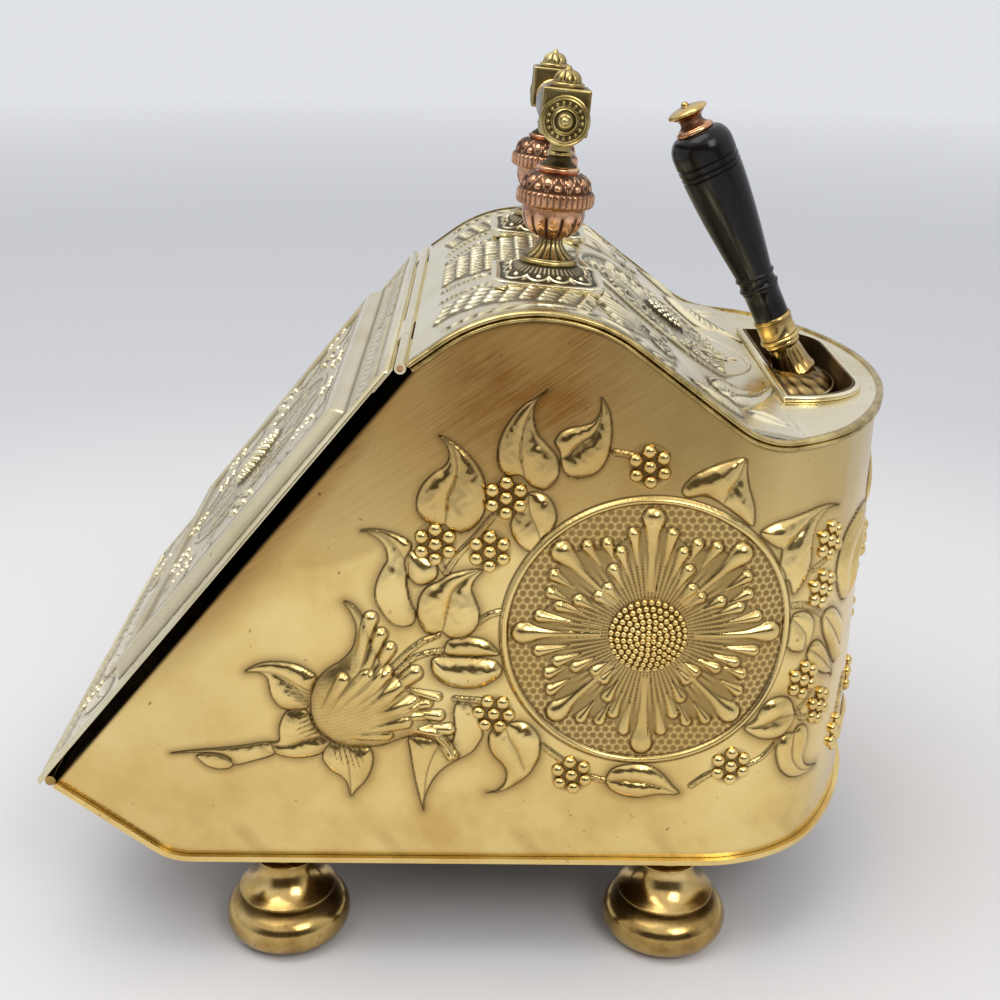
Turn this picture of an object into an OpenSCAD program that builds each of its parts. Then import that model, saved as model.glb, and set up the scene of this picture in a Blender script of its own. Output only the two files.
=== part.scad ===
// Coal scuttle: a brass coal box with a slanting lid hinged at the top, a fixed carrying
// handle between two urn posts, a shovel in a pocket at the back, and four bun feet.
// X runs from the left side to the right side, Y from the lid at the front to the back,
// and Z up. The origin is at the middle of the space the scuttle takes, on the floor.
// Inside the modules Y is counted from the crown, the highest line of the curved top, and
// Z from the underside of the base.

$fn = 48;

/* [Body] */
// Width over the two side sheets
body_w = 286; // [250:1:330]
// Distance from the crown back to the outside of the back
back_reach = 189.5; // [185:0.5:212]
// How far the rounded back bows out behind the straight sides
back_bow = 99; // [90:1:105]
// Radius of the two rounded back corners
back_corner_r = 80; // [66:1:86]
// Thickness of the brass sheet
sheet_t = 1.2; // [0.8:0.1:1.6]
// Width of the strap that backs the seam at the back
strap_w = 22; // [14:1:30]

/* [Curved top] */
// Height of the crown over the base
crown_h = 293; // [280:1:310]
// Height of the flat tail of the top, round the shovel pocket
tail_h = 231; // [215:1:240]
// Radius of the top at the crown
crown_r = 76; // [68:1:82]
// Radius where the top runs out into the flat tail
tail_r = 44; // [34:1:50]
// Slope of the top down to the hinge, in degrees
front_slope = 36; // [32:1:40]
// Flat stretch of the tail in front of the pocket's rim
tail_clear = 6.6; // [4:0.1:10]
// Height of the half round bead along the edge of the top
bead_h = 5.5; // [4:0.5:8]
// How far that bead stands up over the top
bead_rise = 1.1; // [0.5:0.1:2]
// How far that bead stands out from the sides
bead_out = 4; // [2:0.5:5]

/* [Front and base] */
// Distance from the crown forward to the hinge pin
hinge_reach = 63; // [58:0.5:68]
// Distance from the crown forward to the lip below the lid
lip_reach = 241.5; // [228:0.5:250]
// Height of the lip over the base
lip_h = 44; // [38:1:52]
// Distance from the crown forward to where the flat bottom ends
bottom_reach = 174.5; // [168:0.5:182]
// Radius of the bend between the bottom and the front apron
bend_r = 30; // [20:1:34]
// Diameter of the wired lip that the lid rests on
lip_d = 5.5; // [4:0.5:7]
// Width of the hem folded in along the slanting front edges
hem_w = 7; // [5:0.5:10]
// Thickness of that hem
hem_t = 2; // [1.5:0.5:3]
// How far the folded seam round the base stands out
seam_out = 3.5; // [2:0.5:5]
// Height of the folded seam round the base
seam_h = 3; // [2:0.5:4]

/* [Side relief] */
// Height of the raised leaves over the walls
leaf_h = 2.4; // [1.5:0.1:3.5]
// Height of the trumpet flower and of the big flower's heart over the walls
flower_h = 4.2; // [3:0.1:5]
// Distance from the crown back to the middle of the big flower
flower_back = 57; // [45:1:65]
// Height of the middle of the big flower over the base
flower_up = 132.7; // [120:0.1:145]
// Outer radius of the ring round the big flower
flower_r = 72.4; // [60:0.1:80]
// Width of that ring
flower_ring = 3.7; // [2:0.1:6]
// Radius of the big flower's heart
flower_heart = 19.7; // [15:0.1:25]
// Radius of the round tips of its eight long petals
petal_tip = 5.6; // [4:0.1:7]
// Height of the ground inside its ring over the walls
ground_h = 0.4; // [0.2:0.1:1]

/* [Feet] */
// Height of a foot
foot_h = 62; // [54:1:70]
// Distance of the feet from the middle, sideways
foot_side = 117; // [108:1:120]
// Distance from the crown forward to the front feet
foot_front = 129; // [112:0.5:134]
// Distance from the crown back to the back feet
foot_back = 78; // [68:0.5:82]
// Radius of the bun
bun_r = 33.8; // [30:0.2:38]
// Half the thickness of the bun
bun_half = 12.5; // [10:0.5:14]
// Radius of the sharp shoulder over the bun
shoulder_r = 26; // [23:0.5:28]
// Radius of the thin disc high on the foot
disc_r = 17; // [15:0.5:20]
// Radius of the foot's stem under the base
stem_r = 14; // [12:0.5:15]
// Diameter of the studs that hold the feet
foot_stud_d = 6; // [5:0.5:8]

/* [Hinge] */
// Diameter of the hinge barrel
barrel_d = 5.5; // [5.4:0.1:6.5]
// Diameter of the hinge pin
pin_d = 3; // [2.4:0.1:3.4]
// Width of each hinge leaf
leaf_w = 18; // [14:1:24]
// Thickness of each hinge leaf
leaf_t = 1.2; // [1:0.1:1.4]
// Length of the knuckle at the right end, on the top's leaf
knuckle_a = 54; // [40:1:60]
// Length of the next knuckle, on the lid's leaf
knuckle_b = 35; // [25:1:45]
// Length of the knuckle at the left end, on the lid's leaf
knuckle_d = 40; // [30:1:60]

/* [Lid] */
// How far the lid stands out past each side of the body
lid_side = 2; // [1:0.5:4]
// How far the lid reaches below the lip
lid_over = 4; // [2:0.5:8]
// Width of the folded rim round the lid
rim_w = 4.5; // [3:0.5:7]
// Thickness of that rim
rim_t = 2.8; // [2.2:0.1:3.6]
// How much the fold rounds off the rim's edges
rim_ease = 1.5; // [0.8:0.1:1.8]
// Plain border between the lid's sides and the raised frame
border_side = 14; // [10:1:20]
// Border between the hinge pin and the raised frame
border_top = 36; // [30:1:45]
// Border between the raised frame and the foot of the lid
border_foot = 66; // [50:1:75]
// Width of the raised frame
frame_w = 14; // [11:0.5:18]
// Height of the raised frame over the lid sheet
frame_h = 7.5; // [6:0.5:9]
// Height of the inner panel over the lid sheet
panel_h = 5.4; // [3.5:0.1:5.6]
// Radius of the flower boss on the inner panel
lid_boss_r = 24; // [18:1:30]
// Height of that boss over the inner panel
lid_boss_h = 6; // [4:0.5:8]

/* [Shovel pocket] */
// Width of the pocket
pocket_w = 141; // [132:1:150]
// Depth of the pocket from front to back
pocket_d = 41; // [38:1:44]
// Distance between the pocket and the outside of the back
pocket_gap = 16; // [12:1:20]
// Radius of the pocket's rounded back corners
pocket_r = 34; // [30:1:37]
// Width of the raised rim round the pocket
pocket_rim_w = 3.5; // [2.5:0.5:5]
// Height of that rim
pocket_rim_h = 3; // [2:0.5:4]

/* [Shovel] */
// Radius of the scoop's rounded back
scoop_r = 60; // [56:1:62]
// Width of the scoop
scoop_w = 108; // [100:1:112]
// Length of the scoop
scoop_len = 150; // [130:1:154]
// How far the scoop's top edge lies below the tail of the top
scoop_sunk = 6.5; // [5:0.5:9]
// How far the scoop's sides run back at its tip
scoop_taper = 18; // [8:1:22]
// Lean of the shovel's handle towards the front, in degrees
grip_lean = 26.2; // [22:0.2:30]
// Radius of the grip at its widest
grip_r = 16.9; // [15:0.1:18]
// Radius of the grip at its slim end
grip_slim_r = 9.7; // [8.8:0.1:11]
// Length of the wooden grip
grip_len = 110; // [95:1:120]
// Length of the brass ferrule below the grip
ferrule_len = 15; // [12:0.5:20]
// Radius of the ring at the foot of the ferrule
ferrule_r = 11.2; // [10.6:0.1:13]
// Radius of the flared foot of the socket
socket_r = 12; // [11:0.5:14]
// Radius of the cap at the top of the shovel
cap_r = 10.9; // [9:0.1:13]
// Diameter of the rod through the grip
tang_d = 6; // [5:0.5:7]
// Thickness of the domed heel that closes the scoop
heel_t = 3; // [2:0.5:4]
// Height of the dome on the heel
heel_dome = 11; // [9:0.5:13]

/* [Handle posts] */
// Distance of the posts from the middle, sideways
post_side = 69; // [60:1:80]
// Distance from the crown back to the foot of the posts
post_reach = 6; // [3:0.5:9]
// Width of the square flange
flange_w = 55.4; // [48:0.2:62]
// Thickness of the flange's edge
flange_t = 4.2; // [3.5:0.1:6]
// Height of the top of that edge over the sheet
flange_top = 2.2; // [1.5:0.1:3.5]
// Radius of the flange's rounded corners
flange_r = 9; // [6:0.5:12]
// Radius of the round step on the flange
step_r = 14.8; // [13.4:0.1:17]
// Height of the top of that step over the sheet
step_top = 11; // [10:0.5:13]
// Height of the narrow waist over the sheet
waist_h = 20; // [18:0.5:22]
// Radius of the narrow waist
waist_r = 5.8; // [5:0.1:7]
// Radius of the urn's ribbed band
band_r = 18.9; // [17:0.1:21]
// Height of the underside of the band over the sheet
band_low = 36.5; // [34:0.5:39]
// Height of the ribbed band
band_h = 7.5; // [6:0.5:9]
// Radius of the urn's bowl under the band
bowl_r = 15.8; // [14:0.1:16.5]
// Height of the top of the urn over the sheet
urn_top = 55; // [52:0.5:58]
// Radius of the ring at the top of the urn
urn_ring_r = 10.3; // [9:0.1:12]
// Radius of the stem between the urn and the block
stalk_r = 5.1; // [4.5:0.1:6]
// Height of the underside of the square block over the sheet
block_low = 70.4; // [66:0.2:74]
// Width of the square block
block_w = 23; // [20:0.5:27]
// Height of the square block
block_h = 21.8; // [20:0.2:25]
// Radius of the finial's base
finial_r = 8.4; // [7:0.1:10]
// Height of the finial
finial_h = 9.8; // [8:0.2:13]
// Diameter of the studs that hold the posts
post_stud_d = 5; // [4:0.5:6]

/* [Handle] */
// Radius of the wooden bar at its middle
bar_r = 11; // [9:0.5:12.5]
// Radius of the wooden bar at its ends
bar_end_r = 7.5; // [6.5:0.5:8.5]
// Length of the brass ferrule at each end of the bar
bar_ferrule = 8; // [6:0.5:12]
// Diameter of the rod through the bar and both blocks
rod_d = 5; // [4:0.5:5.5]
// Radius of the round boss at each end of the rod
boss_r = 12; // [10:0.5:14]
// Thickness of that boss
boss_t = 3.5; // [3:0.5:5]
// How far the rod sits over the block's underside
rod_over = 7.2; // [6:0.2:9]

/* [Hidden] */
fit = 0.05;          // running fit, on the radius
gap = 0.3;           // clearance between pieces that move past each other
big = 700;           // more than any size of the scuttle
washer_t = 1.5;
barrel_r = barrel_d / 2;
lip_r = lip_d / 2;

// The pocket: the scoop hangs a little inside it and stands on its floor
pocket_back = back_reach - pocket_gap;
pocket_front = pocket_back - pocket_d;
scoop_top = tail_h - scoop_sunk;
scoop_foot = scoop_top - scoop_len;
pocket_floor_z = scoop_foot - gap - sheet_t;

// The side view: key points of the curved top, whose slope runs out in front of the pocket
crown_mid = [0, crown_h - crown_r];
tail_edge = pocket_front - pocket_rim_w - tail_clear;
tail_rise = crown_r + tail_r - crown_h + tail_h;
back_slope = atan2(tail_edge, tail_rise) - acos((crown_r + tail_r) / norm([tail_edge, tail_rise]));
function front_arc(o) = crown_mid + (crown_r + o) * [-sin(front_slope), cos(front_slope)];
function back_arc(o) = crown_mid + (crown_r + o) * [sin(back_slope), cos(back_slope)];
function tail_arc(o) = [tail_edge - (tail_r - o) * sin(back_slope),
                        tail_h + tail_r - (tail_r - o) * cos(back_slope)];
function on_front_slope(y, o) = let (a = front_arc(o)) [y, a.y + (y - a.x) * tan(front_slope)];

// The hinge axis: the top's leaf lies under the top sheet and is tangent to the barrel
hinge = on_front_slope(-hinge_reach, barrel_r - leaf_t - sheet_t);

// The slanting mouth: from the lip up to just behind the hinge
lip = [-lip_reach, lip_h];
mouth_clear = barrel_r + 2.5;
mouth_len = norm(hinge - lip);
mouth_angle = atan2(hinge.y - lip.y, hinge.x - lip.x) - asin(mouth_clear / mouth_len);
mouth_out = [-sin(mouth_angle), cos(mouth_angle)];
lip_axis = lip + mouth_out * lip_r;

// The lid: its underside clears the lip's wire and is tangent to the barrel
lid_w = body_w + 2 * lid_side;
lid_reach = norm(hinge - lip_axis);
lid_angle = atan2(hinge.y - lip_axis.y, hinge.x - lip_axis.x)
          + asin((barrel_r - lip_r - gap) / lid_reach);
lid_foot = lid_reach + lid_over;
lid_head = barrel_r + 1.75;
frame_low = lid_foot - border_foot;
panel_top = frame_h - 0.9;
lid_mid = (border_top + frame_low) / 2;

// The apron: tangent to the bend that starts at the flat bottom
bend = [-bottom_reach, bend_r];
bend_gap = norm(bend - lip);
apron_angle = atan2(bend.y - lip.y, bend.x - lip.x) - asin(bend_r / bend_gap);

// The plan: straight sides, rounded corners and a shallow bow across the back
bow_start = back_reach - back_bow;
corner_x = body_w / 2 - back_corner_r;
bow_rise = back_bow - back_corner_r;
bow_deep = (corner_x * corner_x - bow_rise * bow_rise) / (2 * bow_rise);
bow_r = back_bow + bow_deep;
bow_angle = atan2(bow_deep, corner_x);

// The posts stand square to the top
post_lean = asin(post_reach / crown_r);
post_foot = crown_h - crown_r + crown_r * cos(post_lean);
rod_up = block_low + rod_over;
block_top = block_low + block_h;

scoop_mid = pocket_back - sheet_t - 1 - scoop_r;
scoop_front = scoop_mid + sqrt(pow(scoop_r, 2) - pow(scoop_w / 2, 2));

// The heel's dome, and the foot of the handle over it
heel_low = scoop_top - 8;
heel_ball_r = 45;
heel_y = scoop_mid + 38;
heel_z = heel_low + heel_t + heel_dome - heel_ball_r;
grip_foot_y = heel_y - 8.3;
grip_foot_z = heel_z + heel_ball_r + 15;
socket_len = 28;

// Centring the whole on Y
front_end = lid_point(lid_foot - rim_ease, rim_t).x;
back_end = back_reach + bead_out;
y_shift = -(front_end + back_end) / 2;
function lid_point(s, n) = hinge + [-cos(lid_angle), -sin(lid_angle)] * s
                         + [-sin(lid_angle), cos(lid_angle)] * (barrel_r + n);

// The leaves and the trumpet flower raised on the sides, each as its outline from the tip:
// how far back along the wall from the crown, and how high over the base
leaf_outlines = [
    [[4, 256], [-11, 244], [-18, 229], [-16, 217], [-4, 213], [2, 208], [9, 211], [11, 220], [2, 234], [-1, 245]],
    [[30, 252], [28, 242], [10, 235], [12, 219], [20, 214], [31, 218], [35, 230], [34, 245]],
    [[-45, 233], [-41, 223], [-54, 210], [-55, 196], [-48, 190], [-34, 186], [-24, 194], [-24, 210], [-32, 225]],
    [[-1, 177], [-10, 184], [-10, 194], [-3, 205], [3, 206], [10, 198], [9, 188]],
    [[-82, 186], [-59, 180], [-61, 164], [-57, 144], [-62, 136], [-72, 142], [-76, 154], [-70, 170], [-72, 181]],
    [[-24, 166], [-46, 160], [-55, 152], [-54, 136], [-48, 132], [-35, 130], [-27, 137], [-26, 146], [-29, 157]],
    [[-16, 121], [-40, 120], [-41, 128], [-30, 130], [-19, 126]],
    [[-15, 113], [-23, 118], [-47, 118], [-48, 110], [-36, 102], [-23, 104]],
    [[-53, 32], [-60, 73], [-43, 69], [-38, 74], [-37, 91], [-29, 91], [-24, 77], [-28, 66], [-47, 51]],
    [[-20, 42], [-11, 50], [-20, 67], [-19, 77], [-8, 83], [1, 80], [6, 70], [3, 57], [-6, 47]],
    [[77, 42], [61, 58], [44, 56], [40, 50], [49, 41]],
    [[98, 224], [81, 219], [70, 208], [74, 205], [89, 202], [104, 191], [101, 210]],
    [[109, 80], [118, 90], [129, 93], [138, 86], [138, 77], [129, 71], [116, 74]],
    [[159, 191], [143, 194], [110, 187], [121, 176], [122, 163], [129, 153], [139, 162], [139, 181], [145, 190]],
    [[164, 41], [151, 48], [151, 66], [144, 72], [132, 69], [129, 62], [134, 49], [147, 42]],
    [[-140, 110], [-122, 115], [-107, 107], [-109, 92], [-119, 89], [-129, 97], [-131, 107]],
    [[-133, 69], [-126, 72], [-122, 87], [-112, 88], [-104, 76], [-102, 67], [-115, 62], [-130, 65]],
    [[-90, 40], [-80, 54], [-80, 67], [-99, 69], [-104, 62], [-93, 49]],
    [[-180, 63], [-168, 61], [-157, 55], [-150, 57], [-129, 63], [-132, 69], [-145, 68]]];
trumpet_outline = [[-90, 147], [-85, 141], [-80, 128], [-69, 110], [-57, 95], [-48, 80], [-42, 75], [-38, 65],
    [-50, 73], [-60, 74], [-76, 69], [-95, 70], [-107, 79], [-109, 91], [-105, 106], [-93, 117], [-87, 128], [-87, 140]];
// The big flower's short petals: angle from the diagonal, radius at the tip, length
petals = [[11.2, 59, 13], [35, 57, 17], [17.3, 42, 12]];

brass = "goldenrod";
copper = "chocolate";
ebony = [0.1, 0.09, 0.08];

// ---- Shared shapes ----

// A slice of a disc between two angles, under 180 degrees
module sector(c, r, from, to) {
    mid = (from + to) / 2;
    far = 2 * r / cos((to - from) / 2);
    intersection() {
        translate(c) circle(r);
        polygon([c, c + far * [cos(from), sin(from)], c + far * [cos(mid), sin(mid)],
                 c + far * [cos(to), sin(to)]]);
    }
}

// The side view under the curved top, with the curve moved out by o
module under_top(o) {
    difference() {
        union() {
            polygon([[-big, -big], [big, -big], [big, tail_h + o], [tail_edge, tail_h + o], tail_arc(o),
                     back_arc(o), crown_mid, front_arc(o), on_front_slope(-big, o)]);
            translate(crown_mid) circle(crown_r + o);
        }
        translate([tail_edge, tail_h + tail_r]) circle(tail_r - o);
    }
}

// The side view behind the mouth, with the mouth moved out by o
module behind_mouth(o) {
    along = [cos(mouth_angle), sin(mouth_angle)];
    low = lip + mouth_out * o - along * big;
    high = lip + mouth_out * o + along * big;
    polygon([low, [big, low.y], [big, high.y], high]);
}

// The side view above the base, with the base moved out by o
module over_base(o) {
    along = [cos(apron_angle), sin(apron_angle)];
    out = [sin(apron_angle), -cos(apron_angle)];
    touch = bend + out * (bend_r + o);
    polygon([touch - along * big, touch, bend, bend + [0, -bend_r - o], [big, -o], [big, big],
             [touch.x - big, big + touch.y]]);
    translate(bend) circle(bend_r + o);
}

// The plan of the body, with its outline moved out by o
module plan(o) {
    half = body_w / 2 + o;
    translate([-half, -big]) square([2 * half, big + bow_start]);
    for (side = [-1, 1]) translate([side * corner_x, bow_start]) circle(back_corner_r + o);
    sector([0, bow_start - bow_deep], bow_r + o, bow_angle, 180 - bow_angle);
}

// A side view drawn across the body, w wide
module across(w) {
    rotate([90, 0, 90]) linear_extrude(w, center = true) children();
}

// A plan drawn up through the whole body
module upright() {
    translate([0, 0, -foot_h]) linear_extrude(big) children();
}

// The plan of the pocket, with its outline moved out by o
module pocket_plan(o) {
    half = pocket_w / 2 + o;
    front = pocket_front - o;
    r = pocket_r + o;
    bend_y = pocket_back - pocket_r;
    translate([-half, front]) square([2 * half, bend_y - front]);
    translate([-(half - r), front]) square([2 * (half - r), pocket_back + o - front]);
    for (side = [-1, 1])
        mirror([side < 0 ? 1 : 0, 0]) sector([half - r, bend_y], r, 0, 90);
}

module place() translate([0, y_shift, foot_h]) children();

// Puts a shape drawn in the lid's own frame on the closed lid: x across, y from the foot of
// the lid up to the hinge, z out, with the hinge axis at the origin
module on_lid() {
    place() translate([0, hinge.x, hinge.y]) rotate([lid_angle, 0, 0]) children();
}

module on_post(side) {
    place() translate([side * post_side, post_reach, post_foot])
        rotate([-post_lean, 0, 0]) children();
}

module on_grip() {
    place() translate([0, grip_foot_y, grip_foot_z]) rotate([grip_lean, 0, 0]) children();
}

// Points round an arc, for a turned profile
function arc(c, r, from, to, n = 10) =
    [for (i = [0:n]) c + r * [cos(from + (to - from) * i / n), sin(from + (to - from) * i / n)]];

module turned(points) rotate_extrude($fn = 72) polygon(points);

module hex_nut(across_flats, h, bore_r) {
    difference() {
        cylinder(h, r = across_flats / 2 / cos(30), $fn = 6);
        translate([0, 0, -1]) cylinder(h + 2, r = bore_r);
    }
}

// ---- Body sheets ----

module wall() {
    difference() {
        intersection() {
            upright() difference() { plan(0); plan(-sheet_t); }
            across(body_w + 1) intersection() {
                under_top(-sheet_t);
                behind_mouth(0);
                over_base(0);
            }
        }
        translate([-big, -big, -big]) cube([big, 2 * big, 2 * big]);
    }
}

module right_wall() { color(brass) place() wall(); }
module left_wall() { color(brass) place() mirror([1, 0, 0]) wall(); }

// The strap soldered inside over the seam where the two walls meet
module back_seam_strap() {
    color(brass) place() intersection() {
        upright() difference() { plan(-sheet_t); plan(-2 * sheet_t); }
        translate([-strap_w / 2, pocket_back, sheet_t])
            cube([strap_w, back_bow, tail_h - 2 * sheet_t]);
    }
}

module base_sheet() {
    color(brass) place() difference() {
        intersection() {
            upright() plan(-sheet_t);
            across(body_w) intersection() {
                difference() { over_base(0); over_base(-sheet_t); }
                behind_mouth(0);
            }
        }
        each_foot() cylinder(4 * sheet_t, r = foot_stud_d / 2 + fit, center = true);
    }
}

// The folded seam that stands out all round the base
module base_seam() {
    color(brass) place() intersection() {
        upright() difference() { plan(seam_out); plan(0); }
        across(body_w + 4 * seam_out) intersection() {
            difference() { over_base(0); over_base(-seam_h); }
            behind_mouth(0);
        }
    }
}

// The side view of a strip of the top, h thick, with its upper side moved out by o
module top_strip(o, h) {
    intersection() {
        difference() { under_top(o); under_top(o - h); }
        translate([top_front, -big / 2]) square(big);
    }
}

top_front = -hinge_reach + (barrel_r + 1.8) * cos(front_slope);

module top_sheet() {
    color(brass) place() difference() {
        intersection() {
            upright() plan(0);
            across(body_w + 1) top_strip(0, sheet_t);
        }
        upright() pocket_plan(0);
        for (side = [-1, 1])
            translate([side * post_side, post_reach, post_foot]) rotate([-post_lean, 0, 0])
                cylinder(8 * sheet_t, r = post_stud_d / 2 + fit, center = true);
    }
}

// The bead along the edge of the top: a plain strip that stands for its half round
module top_bead() {
    color(brass) place() intersection() {
        upright() difference() { plan(bead_out); plan(0); }
        across(body_w + 4 * bead_out) top_strip(bead_rise, bead_h);
    }
}

// The wire rolled into the top of the apron, which the lid rests on
module lip_wire() {
    color(brass) place() translate([0, lip_axis.x, lip_axis.y]) rotate([0, 90, 0])
        cylinder(body_w, r = lip_r, center = true);
}

// The hem folded in along a slanting front edge
module mouth_hem() {
    start = sheet_t * 3;
    end = mouth_len * cos(asin(mouth_clear / mouth_len)) - 14;
    translate([body_w / 2 - sheet_t, lip.x, lip.y]) rotate([mouth_angle, 0, 0])
        translate([-hem_t, start, -hem_w]) cube([hem_t, end - start, hem_w]);
}
module right_mouth_hem() { color(brass) place() mouth_hem(); }
module left_mouth_hem() { color(brass) place() mirror([1, 0, 0]) mouth_hem(); }

// ---- Relief of the sides ----

// A place along the wall, seen from the side: beyond the back corner's start it turns away
function seen(p) = [p.x < bow_start ? p.x
                    : bow_start + back_corner_r * sin((p.x - bow_start) / back_corner_r * 180 / PI), p.y];
function inset(points, share) =
    let (mid = [for (p = points) 1] * points / len(points)) [for (p = points) mid + share * (p - mid)];
function swept(points) = [for (i = [0:len(points) - 1]) cross(points[i], points[(i + 1) % len(points)])]
                       * [for (p = points) 1];
function leftward(points) = swept(points) > 0 ? points : [for (i = [len(points) - 1:-1:0]) points[i]];

module wall_leaf(points, share) polygon(leftward([for (p = inset(points, share)) seen(p)]));

// A side view raised h over the right wall, and round the back corner with it
module raised(h) {
    intersection() {
        upright() difference() { plan(h); plan(0); }
        rotate([90, 0, 90]) linear_extrude(big) children();
    }
}

// A petal of the big flower, from a radius out to its round tip
module petal(angle, from, to, root_r, tip_r) {
    c = [flower_back, flower_up];
    out = [cos(angle), sin(angle)];
    side = [-sin(angle), cos(angle)];
    mid = c + (to - tip_r) * out;
    polygon(leftward([for (p = [c + from * out - root_r * side, mid - tip_r * side, mid + tip_r * side,
                                c + from * out + root_r * side]) seen(p)]));
    translate(seen(mid)) circle(tip_r, $fn = 12);
}

module round_flower(r) polygon([for (a = [0:7.5:359]) seen([flower_back, flower_up] + r * [cos(a), sin(a)])]);

module wall_relief() {
    raised(ground_h) round_flower(flower_r - flower_ring / 2);
    raised(leaf_h / 2) {
        for (points = leaf_outlines) wall_leaf(points, 1);
        wall_leaf(trumpet_outline, 1);
    }
    raised(leaf_h) {
        for (points = leaf_outlines) wall_leaf(points, 0.65);
        difference() {
            round_flower(flower_r);
            round_flower(flower_r - flower_ring);
        }
        for (turn = [0:45:315]) petal(turn, flower_heart + 1, flower_r - 5.2, 2, petal_tip);
        for (turn = [45:90:315], side = [-1, 1], p = petals) petal(turn + side * p[0], p[1] - p[2], p[1], 1, 2.4);
    }
    raised(flower_h * 0.6) translate([flower_back, flower_up]) circle(flower_heart);
    raised(flower_h) {
        translate([flower_back, flower_up]) circle(flower_heart * 0.65);
        wall_leaf(trumpet_outline, 0.6);
    }
}

module right_wall_relief() { color(brass) place() wall_relief(); }
module left_wall_relief() { color(brass) place() mirror([1, 0, 0]) wall_relief(); }

// ---- Shovel pocket ----

module pocket_rim() {
    color(brass) place() translate([0, 0, tail_h]) linear_extrude(pocket_rim_h)
        difference() { pocket_plan(pocket_rim_w); pocket_plan(0); }
}

module pocket_sleeve() {
    color(brass) place() translate([0, 0, pocket_floor_z])
        linear_extrude(tail_h + pocket_rim_h - pocket_floor_z)
            difference() { pocket_plan(0); pocket_plan(-sheet_t); }
}

module pocket_floor() {
    color(brass) place() translate([0, 0, pocket_floor_z]) linear_extrude(sheet_t)
        pocket_plan(-sheet_t);
}

// ---- Hinge ----

// Ends of the knuckles along X, from the right end to the left end
hinge_half = lid_w / 2 - 2;
knuckle_ends = [hinge_half, hinge_half - knuckle_a, hinge_half - knuckle_a - knuckle_b,
                -hinge_half + knuckle_d, -hinge_half];

// Knuckle i, with the tab that joins it to its leaf; the leaf side is up at z = barrel_r
module knuckle(i, tab) {
    right = knuckle_ends[i] - (i == 0 ? 0 : gap / 2);
    left = knuckle_ends[i + 1] + (i == 3 ? 0 : gap / 2);
    difference() {
        union() {
            translate([left, 0, 0]) rotate([0, 90, 0]) cylinder(right - left, r = barrel_r);
            inset = i == 0 || i == 3 ? 8 : 0;
            translate([left + (i == 3 ? inset : 0), 0, barrel_r - leaf_t])
                cube([right - left - inset, tab, leaf_t]);
        }
        translate([left - 1, 0, 0]) rotate([0, 90, 0])
            cylinder(right - left + 2, r = pin_d / 2 + fit);
    }
}

leaf_start = barrel_r + 0.8;
leaf_half = body_w / 2 - sheet_t - hem_t - 1;

module leaf() {
    translate([-leaf_half, leaf_start, barrel_r - leaf_t])
        cube([2 * leaf_half, leaf_w - leaf_start, leaf_t]);
}

module top_hinge_leaf() {
    color(brass) place() translate([0, hinge.x, hinge.y]) rotate([front_slope, 0, 0])
        mirror([0, 0, 1]) { leaf(); for (i = [0, 2]) knuckle(i, leaf_start + 1); }
}

module lid_hinge_leaf() {
    color(brass) on_lid() mirror([0, 1, 0]) { leaf(); for (i = [1, 3]) knuckle(i, leaf_start + 1); }
}

module hinge_pin() {
    color(copper) place() translate([0, hinge.x, hinge.y]) rotate([0, 90, 0])
        cylinder(2 * hinge_half - 2, r = pin_d / 2, center = true);
}

// ---- Lid ----

// A block on the lid, from x = -half to half, from s0 to s1 below the hinge, z0 to z1 out
module lid_block(half, s0, s1, n0, n1) {
    translate([-half, -s1, barrel_r + n0]) cube([2 * half, s1 - s0, n1 - n0]);
}

module lid_sheet() {
    color(brass) on_lid()
        lid_block(lid_w / 2 - rim_w, lid_head + rim_w, lid_foot - rim_w, 0, sheet_t);
}

// The folded rim, with its edges taken off as the fold does
module lid_rim() {
    color(brass) on_lid() difference() {
        lid_block(lid_w / 2, lid_head, lid_foot, 0, rim_t);
        lid_block(lid_w / 2 - rim_w, lid_head + rim_w, lid_foot - rim_w, -1, rim_t + 1);
        for (s = [lid_head, lid_foot])
            translate([0, -s, barrel_r + rim_t]) rotate([45, 0, 0])
                cube([lid_w + 2, rim_ease * sqrt(2), rim_ease * sqrt(2)], center = true);
        for (side = [-1, 1])
            translate([side * lid_w / 2, 0, barrel_r + rim_t]) rotate([0, 45, 0])
                cube([rim_ease * sqrt(2), 2.1 * lid_foot, rim_ease * sqrt(2)], center = true);
    }
}

// One side of the raised frame: a quarter round outside and a raised lip inside. It runs
// along x with its outer foot on y = 0 and its ends mitred
module frame_side(run) {
    lip_w = 3;
    round_r = frame_h - 1.5;
    intersection() {
        rotate([90, 0, 90]) linear_extrude(run + 2, center = true) {
            sector([round_r, 0], round_r, 90, 180);
            translate([round_r - 0.01, 0]) square([frame_w - round_r - lip_w + 0.01, round_r]);
            translate([frame_w - lip_w - 0.01, 0]) square([lip_w + 0.01, frame_h]);
        }
        linear_extrude(3 * frame_h, center = true)
            polygon([[-run / 2, 0], [run / 2, 0], [run / 2 - frame_w, frame_w], [-run / 2 + frame_w, frame_w]]);
    }
}

module lid_frame() {
    half = lid_w / 2 - border_side;
    run = frame_low - border_top;
    color(brass) on_lid() translate([0, -lid_mid, barrel_r + sheet_t]) {
        for (turn = [0, 180])
            rotate([0, 0, turn]) translate([0, -run / 2, 0]) frame_side(2 * half);
        for (turn = [90, 270])
            rotate([0, 0, turn]) translate([0, -half, 0]) frame_side(run);
    }
}

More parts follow.
